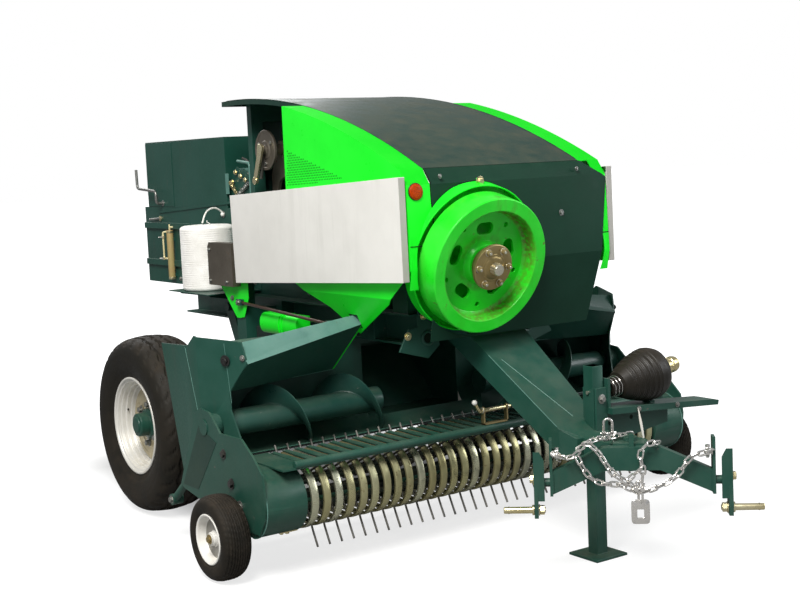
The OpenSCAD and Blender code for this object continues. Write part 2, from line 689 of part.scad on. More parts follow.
// Side shield: flat face, front part bent inwards, and the deflector welded to it
bend_y = -812;
module side_shield() color(dark_green) {
    difference() {
        union() {
            intersection() {
                // The bent sheet seen from above, cut to its outline seen from the side
                translate([0, 0, 200]) linear_extrude(700) polygon([[feed_half, -500], [feed_half, bend_y],
                    [feed_half - 102, bend_y - 206], [feed_half - 107.4, bend_y - 203.3],
                    [feed_half - feed_t, bend_y + 1.4], [feed_half - feed_t, -500]]);
                side_plate(feed_half - 200, 300, [[-509, 794], [-735, 803], [-794, 846], [bend_y, 842], [-993, 829],
                    [-1013.6, 750], [-938.4, 641], [-937.5, 574], [-970.6, 469], [-868.5, 462], [bend_y, 440],
                    [-760, 380], [-654, 262], [-590, 500]]);
            }
            // Boss of the auger's bearing and pin of the pickup's arm
            translate([feed_half - 40, auger_y, auger_z]) rotate([0, 90, 0]) cylinder(d = 96, h = 40);
        }
        translate([feed_half - 64, auger_y, auger_z]) rotate([0, 90, 0]) cylinder(d = 40.6, h = 64 - feed_t);
    }
    translate([feed_half - 1, auger_y, auger_z]) rotate([0, 90, 0]) cylinder(d = 60, h = arm_gap + arm_t + 5);
    // Deflector: pale upper flange and the face that slopes back below it, their
    // outer ends cut along the bent sheet
    translate([feed_half - 102, bend_y - 202, 750]) rotate([0, 10.5, 0]) mirror([1, 0, 0]) {
        rotate([54, 0, 0]) linear_extrude(4) polygon([[0, -5], [517, -5], [517, 40], [-11.4, 88], [0, 0]]);
        rotate([-45.4, 0, 0]) translate([0, 0, -4]) linear_extrude(4) polygon([[0, 0], [439, 0], [350, 205], [230, 205], [-66.6, 140]]);
    }
    // Stay to the axle side, with a bolt at its end
    rod([feed_half - 12, -730, 330], [feed_half - 12, -520, 170], 30);
    translate([feed_half - 40, -520, 170]) rotate([0, 90, 0]) cylinder(d = 44, h = 44);
}
module side_shield_right() place() mirror([1, 0, 0]) side_shield();
module side_shield_left() place() side_shield();

// Helical flight along +X from x = 0, as one swept strip
module flight(len, hand) {
    steps = round(len / auger_pitch * 24);
    ri = auger_tube_d / 2 - 3;
    ro = auger_d / 2;
    function ring(i) = let (a = hand * 360 * len / auger_pitch * i / steps, x = (len - flight_t) * i / steps)
        [[x, ri * cos(a), ri * sin(a)], [x, ro * cos(a), ro * sin(a)],
         [x + flight_t, ro * cos(a), ro * sin(a)], [x + flight_t, ri * cos(a), ri * sin(a)]];
    points = [for (i = [0:steps]) for (p = ring(i)) p];
    faces = concat([[0, 1, 2, 3]], [for (i = [0:steps - 1]) for (k = [0:3])
        for (f = [[4 * i + k, 4 * i + 4 + k, 4 * i + (k + 1) % 4], [4 * i + (k + 1) % 4, 4 * i + 4 + k, 4 * i + 4 + (k + 1) % 4]]) f],
        [[4 * steps + 3, 4 * steps + 2, 4 * steps + 1, 4 * steps]]);
    polyhedron(points, hand < 0 ? faces : [for (f = faces) [for (k = [len(f) - 1:-1:0]) f[k]]]);
}

module auger(hand) color(dark_green) translate([0, auger_y, auger_z]) {
    translate([auger_in, 0, 0]) rotate([0, 90, 0]) cylinder(d = auger_tube_d, h = auger_out - auger_in);
    translate([auger_out - 1, 0, 0]) rotate([0, 90, 0]) cylinder(d = 40, h = feed_half - feed_t - auger_out + 0.7);
    translate([auger_in, 0, 0]) flight(auger_out - auger_in - 6, hand);
}
module auger_right() place() mirror([1, 0, 0]) auger(1);
module auger_left() place() auger(1);

// Pickup: side arms, end drums and the tube behind that joins them
module pickup_frame() place() color(dark_green) {
    arm = [[-800, 560], [-640, 262], [-662, 246], [-1100, 178], [-1252, 178], [-1296, 240], [-1302, 320], [-1290, 400],
        [-1230, 455], [-1150, 508], [-990, 505], [-910, 572], [-840, 580]];
    on_both_sides() {
        difference() {
            side_plate(arm_x, arm_t, arm);
            translate([arm_x - 1, auger_y, auger_z]) rotate([0, 90, 0]) cylinder(d = 60.6, h = arm_t + 2);
        }
        difference() {
            drum(drum_in, arm_x, 0);
            drum(drum_in + 4, arm_x - 4, 4);
            translate([drum_in - 1, reel_y, reel_z]) rotate([0, 90, 0]) cylinder(d = 44, h = 200);
        }
        // Bearing of the reel's shaft
        translate([arm_x - 30, reel_y, reel_z]) rotate([0, 90, 0]) difference() {
            cylinder(d = 80, h = 30);
            translate([0, 0, -1]) cylinder(d = 36.6, h = 27);
        }
        // Stub axle of the gauge wheel
        translate([arm_x, gauge_y, gauge_z]) rotate([0, 90, 0]) cylinder(d = 60, h = arm_t + 8);
        translate([arm_x, gauge_y, gauge_z]) rotate([0, 90, 0]) cylinder(d = gauge_axle_d, h = gauge_x + gauge_w / 2 - arm_x - 14);
    }
    translate([-arm_x, rear_tube_y, rear_tube_z]) rotate([0, 90, 0]) cylinder(d = rear_tube_d, h = 2 * arm_x);
}

// Outline of the bands and the drums: a round front with straight runs behind
module drum(x0, x1, inset) {
    translate([x0, band_y, band_z]) rotate([0, 90, 0]) cylinder(r = band_r - inset, h = x1 - x0, $fn = 96);
    block([x0, band_y, band_z - band_r + inset], [x1, band_back - inset, band_z + band_r - inset]);
}

module pickup_bands() place() color(zinc) for (i = [0:band_n - 1]) {
    x = (i - (band_n - 1) / 2) * band_pitch - band_w / 2;
    difference() {
        union() {
            drum(x, x + band_w, 0);
            block([x, band_back - 1, band_z - band_r], [x + band_w, rear_tube_y - rear_tube_d / 2 + 0.2, band_z - band_r + band_t]);
        }
        drum(x - 1, x + band_w + 1, band_t);
        block([x - 1, band_back - band_t - 1, band_z - band_r + band_t], [x + band_w + 1, band_back + 1, band_z + band_r - band_t]);
    }
}

// Wind guard: a tube over the bands' front with a comb of fingers behind it
module windguard() place() color(dark_green) {
    z0 = band_z + band_r + 0.3;
    half = (band_n - 1) / 2 * band_pitch + band_w / 2;
    translate([-half - 60, guard_y, guard_z]) rotate([0, 90, 0]) cylinder(d = guard_tube_d, h = 2 * half + 120);
    block([-half, guard_y - 8, z0], [half, guard_y + 7, z0 + finger_t]);
    for (i = [0:band_n - 1]) {
        x = (i - (band_n - 1) / 2) * band_pitch - band_w / 2;
        block([x, guard_y, z0], [x + band_w, band_back, z0 + finger_t]);
    }
    on_both_sides() block([half + 10, guard_y - 8, z0], [half + 110, band_back, z0 + finger_t]);
    on_both_sides() block([half - 1, guard_y - 8, z0], [half + 20, guard_y + 7, z0 + finger_t]);
}

// Reel of spring tines that turns inside the bands
module tine_reel() place() color(steel) translate([0, reel_y, reel_z]) {
    shaft = arm_x - 4.3;
    half = (band_n - 1) / 2 * band_pitch + band_w / 2 + 10;
    translate([-shaft, 0, 0]) rotate([0, 90, 0]) cylinder(d = 36, h = 2 * shaft);
    for (x = [-half, -8 * band_pitch, 0, 8 * band_pitch, half])
        translate([x - 3, 0, 0]) rotate([0, 90, 0]) cylinder(r = bar_r + 8, h = 6);
    for (k = [0:tine_rows - 1]) {
        a = tine_phase + 360 / tine_rows * k;
        bar = [0, bar_r * cos(a - 30), bar_r * sin(a - 30)];
        tip = [0, tine_r * cos(a), tine_r * sin(a)];
        translate([-half, bar.y, bar.z]) rotate([0, 90, 0]) cylinder(d = bar_d, h = 2 * half);
        for (i = [0:band_n - 2]) {
            x = [(i + 1 - band_n / 2 + 0.0) * band_pitch, 0, 0];
            rod(bar + x, tip + x, tine_d, 6);
        }
    }
}

// Lift lever and its bracket on the wind guard's tube
module lift_crank() place() color(zinc) {
    z0 = guard_z + guard_tube_d / 2 + 0.3;
    block([-60, guard_y - 9, z0], [60, guard_y + 9, z0 + 6]);
    for (x = [-60, 54]) block([x, guard_y - 9, z0 + 1], [x + 6, guard_y + 9, z0 + 70]);
    rod([-78, guard_y, z0 + 56], [78, guard_y, z0 + 56], 16);
    rod([-72, guard_y + 2, z0 + 54], [-112, guard_y - 18, z0 + 98], 15);
}

// Round tyre profile about the wheel's middle plane, as radius and place
function tyre_profile(r, w, rim, n = 8) = concat(
    [[rim, -w * 0.36], [rim + (r - rim) * 0.35, -w * 0.48]],
    [for (i = [0:n]) let (t = -1 + 2 * i / n) [r - (r - rim) * 0.30 * pow(abs(t), 3), t * w * 0.5]],
    [[rim + (r - rim) * 0.35, w * 0.48], [rim, w * 0.36]]);

module tyre() color(rubber) translate([wheel_x, 0, wheel_z])
    turn_x(tyre_profile(tyre_d / 2, tyre_w, rim_d / 2 - 14));
module tyre_right() place() mirror([1, 0, 0]) tyre();
module tyre_left() place() tyre();

// Deep-dished rim with its hub boss; +X is outwards
module rim() color(silver) translate([wheel_x, 0, wheel_z]) {
    r = rim_d / 2;
    w = tyre_w * 0.36;
    bore = axle_d / 2 + 0.3;
    turn_x([[bore, -w + 20], [bore + 14, -w + 20], [bore + 20, 22], [r - 50, 22], [r - 26, -10], [r - 26, -w + 20], [r - 15, -w],
        [r - 14.3, -w], [r - 14.3, w], [r, w + 8], [r, w + 14], [r - 12, w + 14], [r - 20, w - 2], [r - 20, 8], [r - 48, 34],
        [hub_d / 2 + 6, 34], [hub_d / 2, 40], [hub_d / 2, 92], [hub_d / 2 - 8, 98], [0, 98], [0, 32], [bore, 32]]);
}
module rim_right() place() mirror([1, 0, 0]) rim();
module rim_left() place() rim();

module gauge_tyre() color(rubber) translate([gauge_x, gauge_y, gauge_z])
    turn_x(tyre_profile(gauge_d / 2, gauge_w, gauge_rim_d / 2 - 8, 6));
module gauge_tyre_right() place() mirror([1, 0, 0]) gauge_tyre();
module gauge_tyre_left() place() gauge_tyre();

module gauge_rim() color(silver) translate([gauge_x, gauge_y, gauge_z]) {
    r = gauge_rim_d / 2;
    w = gauge_w * 0.36;
    bore = gauge_axle_d / 2 + 0.3;
    turn_x([[bore, -w], [bore + 12, -w], [bore + 12, 0], [r - 24, 8], [r - 12, -w], [r - 8.3, -w], [r - 8.3, w], [r, w + 6],
        [r, w + 10], [r - 10, w + 10], [r - 14, w - 6], [r - 26, 16], [30, 22], [26, 34], [16, 36], [bore, 36]]);
}
module gauge_rim_right() place() mirror([1, 0, 0]) gauge_rim();
module gauge_rim_left() place() gauge_rim();

// Arm that carries the folded driveshaft, bolted to the stand's sleeve
module pto_support() place() color(dark_green) {
    y0 = -1850;
    x0 = stand_x + stand_w / 2 + 9.3;
    cross_plate(y0, 100, [[x0, 545], [300, 532], [620, 505], [652, 498], [648, 480], [300, 508], [x0, 522]]);
    cross_plate(stand_y - 5, 10, [[x0 + 9, 523], [430, 499], [430, 440], [x0 + 9, 400]]);
    block([x0, y0 + 20, 523], [x0 + 12, y0 + 80, 650]);
    // Stub inside the bell and saddle under it
    along_pto() translate([0, 0, -22]) cylinder(d = 29.4, h = 100);
    block([314, y0 + 30, 525], [338, y0 + 70, 538.2]);
}

// Rubber bell of the driveshaft's guard, lying along the arm
pto_a = [124, -1800, 608];
pto_slope = 8.3;
module along_pto() translate(pto_a) rotate([0, 90 - pto_slope, 0]) children();
module pto_bell() place() color(rubber) along_pto() difference() {
    rotate_extrude($fn = 96) polygon([[0, 0], [30, 0], [34, 20], [34, 40], [48, 46], [70, 90], [88, 140], [98, 190], [98, 205],
        [86, 240], [60, 262], [50, 262], [50, 250], [80, 200], [20, 120], [0, 120]]);
    translate([0, 0, -1]) cylinder(d = 30, h = 100);
}

module pto_yoke() place() color(zinc) along_pto() {
    difference() {
        union() {
            translate([0, 0, 120.3]) cylinder(d = 38, h = 190);
            translate([0, 0, 290]) cylinder(d = 62, h = 56);
        }
        translate([0, 0, 296]) cylinder(d = 35, h = 60);
    }
}

main_frame();
axle();
tongue();
hitch_beam();
hitch_pins();
hitch_chain();
stand();
bale_chamber();
density_gear();
twine_box();
twine_lid();
twine_shelf();
twine_spool();
knotters();
needle_yoke();
canopy_arch();
hood_top();
hood_front();
side_panel_right();
side_panel_left();
side_guard_right();
side_guard_left();
reflector();
flywheel_guard();
flywheel();
clutch_ring();
gearbox();
feed_trough();
side_shield_right();
side_shield_left();
auger_right();
auger_left();
pickup_frame();
pickup_bands();
windguard();
tine_reel();
lift_crank();
gauge_tyre_right();
gauge_rim_right();
gauge_tyre_left();
gauge_rim_left();
pto_support();
pto_bell();
pto_yoke();
tyre_right();
rim_right();
tyre_left();
rim_left();
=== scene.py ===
"""Square baler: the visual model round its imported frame.

Metres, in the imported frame: +X the machine's left, +Y its rear, +Z up. Most places are
given from the wheel axle, as in the part's source, and at() moves them to the frame.
"""
import json
import math

import bmesh
import bpy
import numpy as np
from mathutils import Matrix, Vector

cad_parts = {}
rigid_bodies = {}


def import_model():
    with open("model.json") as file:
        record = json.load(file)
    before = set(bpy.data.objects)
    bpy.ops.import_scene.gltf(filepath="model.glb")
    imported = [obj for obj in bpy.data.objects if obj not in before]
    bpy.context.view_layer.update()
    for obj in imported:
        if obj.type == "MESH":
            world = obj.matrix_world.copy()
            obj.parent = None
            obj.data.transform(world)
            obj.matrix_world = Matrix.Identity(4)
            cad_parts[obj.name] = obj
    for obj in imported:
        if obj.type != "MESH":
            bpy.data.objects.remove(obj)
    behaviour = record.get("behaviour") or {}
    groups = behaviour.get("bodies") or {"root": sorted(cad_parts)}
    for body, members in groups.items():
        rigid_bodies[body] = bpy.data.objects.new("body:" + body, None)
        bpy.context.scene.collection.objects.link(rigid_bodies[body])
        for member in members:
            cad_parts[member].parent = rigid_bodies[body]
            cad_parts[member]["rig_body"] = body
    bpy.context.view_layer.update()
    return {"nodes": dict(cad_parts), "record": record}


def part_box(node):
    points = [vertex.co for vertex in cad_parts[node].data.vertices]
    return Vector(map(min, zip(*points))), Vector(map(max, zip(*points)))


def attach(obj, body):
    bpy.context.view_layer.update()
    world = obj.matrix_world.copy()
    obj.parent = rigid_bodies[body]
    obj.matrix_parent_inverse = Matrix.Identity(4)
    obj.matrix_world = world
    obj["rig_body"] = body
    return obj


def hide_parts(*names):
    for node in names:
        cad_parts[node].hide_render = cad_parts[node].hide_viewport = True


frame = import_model()
NODES = frame["nodes"]
RNG = np.random.default_rng(7)

# The wheel axle's place along the machine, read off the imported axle
AXLE_Y = float(sum(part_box("axle")[i][1] for i in (0, 1)) / 2)
TURN = 2 * math.pi
LEFT, UP = np.array([1.0, 0.0, 0.0]), np.array([0.0, 0.0, 1.0])

# Places of wheels, reel and auger in millimetres from the axle's middle on the ground
WHEEL_X, WHEEL_Z = 835, 380
GAUGE_X, GAUGE_Y, GAUGE_Z = 1110, -1090, 155
AUGER_Y, AUGER_Z = -865, 510
REEL_Y, REEL_Z = -1117, 257
# The hood's arc: its top and its radius
HOOD_TOP, HOOD_R = 1755, 3180
# Places across of the outer faces of chamber, green panels, shields and pickup, and the
# chamber's top
CHAMBER_X, PANEL_X, SHIELD_X, PICKUP_X = 250.3, 480, 1024, 1038
CHAMBER_TOP = 1270.3
# Where the hood's front faces
HOOD_OUT = (0, -0.99875, 0.0501)


def at(x, y, z):
    """Places in the frame from millimetres, which may be arrays, off the axle's middle on the
    ground: (x, y, z) / 1000 + (0, axle, 0)."""
    return np.stack(np.broadcast_arrays(x, y, z), -1) / 1000 + (0, AXLE_Y, 0)


def hood_z(y):
    """Height of the hood's outer face: top - (R - sqrt(R^2 - y^2))."""
    return HOOD_TOP - (HOOD_R - np.sqrt(HOOD_R ** 2 - y ** 2))


# Camera

PHOTO_W = 800
FOCAL_PX = 1345
CAMERA_RIGHT = (0.81788, -0.57367, -0.04428)
CAMERA_DOWN = (-0.09633, -0.06064, -0.99350)
CAMERA_FORWARD = (0.56726, 0.81683, -0.10486)


def make_camera():
    """A camera at the photograph's place; its sensor is as wide as the picture."""
    data = bpy.data.cameras.new("camera")
    data.sensor_width = 36
    data.lens = FOCAL_PX * data.sensor_width / PHOTO_W
    data.clip_end = 100
    camera = bpy.data.objects.new("camera", data)
    turn = Matrix((CAMERA_RIGHT, [-v for v in CAMERA_DOWN], [-v for v in CAMERA_FORWARD])).transposed()
    camera.matrix_world = Matrix.Translation(at(-3227, -5329, 1480)) @ turn.to_4x4()
    bpy.context.scene.collection.objects.link(camera)
    bpy.context.scene.camera = camera


make_camera()
scene = bpy.context.scene
scene.view_settings.view_transform = "Standard"


# Node helpers

class Graph:
    """Short calls that add nodes to one tree and join their sockets."""

    def __init__(self, tree):
        self.tree = tree

    def node(self, kind, inputs=None, **settings):
        """A new shader node with its settings made and its inputs filled."""
        made = self.tree.nodes.new("ShaderNode" + kind)
        for key, value in settings.items():
            setattr(made, key, value)
        for key, value in (inputs or {}).items():
            self.put(made.inputs[key], value)
        return made

    def put(self, socket, value):
        """Joins a socket to another one, or gives it a plain value."""
        if isinstance(value, bpy.types.NodeSocket):
            self.tree.links.new(value, socket)
        elif isinstance(value, (tuple, list)) and socket.type == "RGBA" and len(value) == 3:
            socket.default_value = (*value, 1)
        else:
            socket.default_value = value

    def math(self, operation, a, b=0.0, clamp=False):
        """a and b joined by one operation."""
        return self.node("Math", {0: a, 1: b}, operation=operation, use_clamp=clamp).outputs[0]

    def weigh(self, a, share, b, other):
        """a * share + b * other."""
        return self.math("ADD", self.math("MULTIPLY", a, share), self.math("MULTIPLY", b, other))

    def mix(self, factor, a, b, blend="MIX"):
        """The colour a where the factor is 0, the colour b where it is 1."""
        made = self.node("Mix", data_type="RGBA", blend_type=blend)
        self.put(made.inputs["Factor"], factor)
        self.put(made.inputs[6], a)
        self.put(made.inputs[7], b)
        return made.outputs[2]

    def span(self, value, low, high, to_low=0.0, to_high=1.0):
        """The value stretched from one range to another, clamped."""
        made = self.node("MapRange", {"Value": value, "From Min": low, "From Max": high,
                                      "To Min": to_low, "To Max": to_high})
        return made.outputs[0]

    def noise(self, vector, scale, detail=4.0, rough=0.55):
        """Noise from 0 to 1 with so many lumps in a metre."""
        made = self.node("TexNoise", {"Vector": vector, "Scale": scale, "Detail": detail,
                                      "Roughness": rough})
        return made.outputs[0]

    def stretched(self, vector, factors):
        """The vector times a factor on each axis."""
        return self.node("VectorMath", {0: vector, 1: factors}, operation="MULTIPLY").outputs[0]


def group(name, inputs, outputs):
    """An empty node group with named sockets, its graph, and its in and out nodes."""
    tree = bpy.data.node_groups.new(name, "ShaderNodeTree")
    kinds = {"c": "NodeSocketColor", "f": "NodeSocketFloat", "v": "NodeSocketVector"}
    for key, kind in inputs:
        tree.interface.new_socket(key, in_out="INPUT", socket_type=kinds[kind])
    for key, kind in outputs:
        tree.interface.new_socket(key, in_out="OUTPUT", socket_type=kinds[kind])
    given, out = tree.nodes.new("NodeGroupInput"), tree.nodes.new("NodeGroupOutput")
    return tree, Graph(tree), given.outputs, out.inputs


# Shared effects

def make_weather():
    """Weathered coat: broad fading, fine chips, dust on upward faces and near the ground,
    and an orange-peel height. Every mask is noise on Object coordinates."""
    tree, g, given, out = group("weathered coat", [
        ("Base", "c"), ("Faded", "c"), ("Under", "c"), ("Dust", "c"), ("Chips", "f"), ("Dusty", "f"),
        ("Low roughness", "f"), ("High roughness", "f"), ("Grain", "f"), ("Bump", "f")],
        [("Color", "c"), ("Roughness", "f"), ("Chipped", "f"), ("Normal", "v")])
    place = g.node("TexCoord").outputs["Object"]
    broad = g.noise(place, 2.3, 3.0)
    cloudy = g.noise(place, 11.0, 5.0, 0.6)
    fine = g.noise(place, 90.0, 6.0, 0.7)
    fade = g.span(g.weigh(broad, 0.6, cloudy, 0.4), 0.38, 0.62)
    colour = g.mix(fade, given["Base"], given["Faded"])
    chip_field = g.weigh(g.noise(place, 34.0, 9.0, 0.72), 0.7, cloudy, 0.3)
    share = g.math("MULTIPLY", given["Chips"], 0.2)
    chips = g.span(chip_field, g.math("SUBTRACT", 0.70, share), g.math("SUBTRACT", 0.72, share))
    colour = g.mix(chips, colour, given["Under"])
    up = g.node("SeparateXYZ", {0: g.node("NewGeometry").outputs["Normal"]}).outputs[2]
    height = g.node("SeparateXYZ", {0: place}).outputs[2]
    low = g.span(height, 0.75, 0.05)
    settled = g.math("ADD", g.span(up, 0.3, 1.0, 0.0, 0.75), g.math("MULTIPLY", low, 0.55))
    dust = g.math("MULTIPLY", settled, g.span(g.weigh(cloudy, 0.7, fine, 0.3), 0.36, 0.68))
    dust = g.math("MULTIPLY", dust, given["Dusty"], clamp=True)
    colour = g.mix(dust, colour, given["Dust"])
    rough = g.span(g.weigh(cloudy, 0.5, fine, 0.5), 0.35, 0.65, given["Low roughness"],
                   given["High roughness"])
    rough = g.math("ADD", rough, g.math("MULTIPLY", dust, 0.3), clamp=True)
    peel = g.noise(place, given["Grain"], 3.0)
    lump = g.math("SUBTRACT", g.weigh(peel, 0.5, cloudy, 0.5), g.math("MULTIPLY", chips, 0.5))
    bump = g.node("Bump", {"Strength": given["Bump"], "Distance": 0.002, "Height": lump})
    g.put(out["Color"], colour)
    g.put(out["Roughness"], rough)
    g.put(out["Chipped"], chips)
    g.put(out["Normal"], bump.outputs[0])
    return tree


def make_streaks():
    """Streaks that run down: noise drawn out along Z, kept to its highest values."""
    sockets = [("Color", "c"), ("Streak", "c"), ("Amount", "f"), ("Scale", "f")]
    tree, g, given, out = group("run-down streaks", sockets, [("Color", "c")])
    place = g.node("TexCoord").outputs["Object"]
    drawn = g.noise(g.stretched(place, (1.0, 1.0, 0.06)), given["Scale"], 5.0, 0.6)
    patch = g.noise(place, 3.1, 3.0)
    mask = g.math("MULTIPLY", g.span(drawn, 0.52, 0.72), g.span(patch, 0.42, 0.62))
    amount = g.math("MULTIPLY", mask, given["Amount"], clamp=True)
    g.put(out["Color"], g.mix(amount, given["Color"], given["Streak"]))
    return tree


WEATHER = make_weather()
STREAKS = make_streaks()
DUST_BROWN = (0.20, 0.165, 0.11)
RUST = (0.16, 0.065, 0.022)


def start_material(name):
    """A new material, its graph and its shader."""
    made = bpy.data.materials.new(name)
    made.use_nodes = True
    g = Graph(made.node_tree)
    return made, g, made.node_tree.nodes["Principled BSDF"]


def coat(name, base, faded, under=(0.10, 0.09, 0.08), dust=DUST_BROWN, chips=0.3, dusty=0.35,
         rough=(0.3, 0.45), grain=420.0, bump=0.08, metallic=0.0, under_metal=0.0, streak=None,
         streak_scale=26.0, clear=0.0, specular=0.5):
    """A finish on metal: the weathered coat, streaks if asked for, and plain values on the shader."""
    made, g, shader = start_material(name)
    worn = g.node("Group", node_tree=WEATHER)
    for socket, value in zip(worn.inputs, (base, faded, under, dust, chips, dusty, *rough, grain, bump)):
        g.put(socket, value)
    colour = worn.outputs["Color"]
    if streak:
        run = g.node("Group", node_tree=STREAKS)
        for socket, value in zip(run.inputs, (colour, *streak, streak_scale)):
            g.put(socket, value)
        colour = run.outputs["Color"]
    g.put(shader.inputs["Base Color"], colour)
    g.put(shader.inputs["Roughness"], worn.outputs["Roughness"])
    g.put(shader.inputs["Normal"], worn.outputs["Normal"])
    if under_metal != metallic:
        g.put(shader.inputs["Metallic"], g.span(worn.outputs["Chipped"], 0.0, 1.0, metallic, under_metal))
    else:
        shader.inputs["Metallic"].default_value = metallic
    shader.inputs["Coat Weight"].default_value = clear
    shader.inputs["Coat Roughness"].default_value = 0.12
    shader.inputs["Specular IOR Level"].default_value = specular
    return made


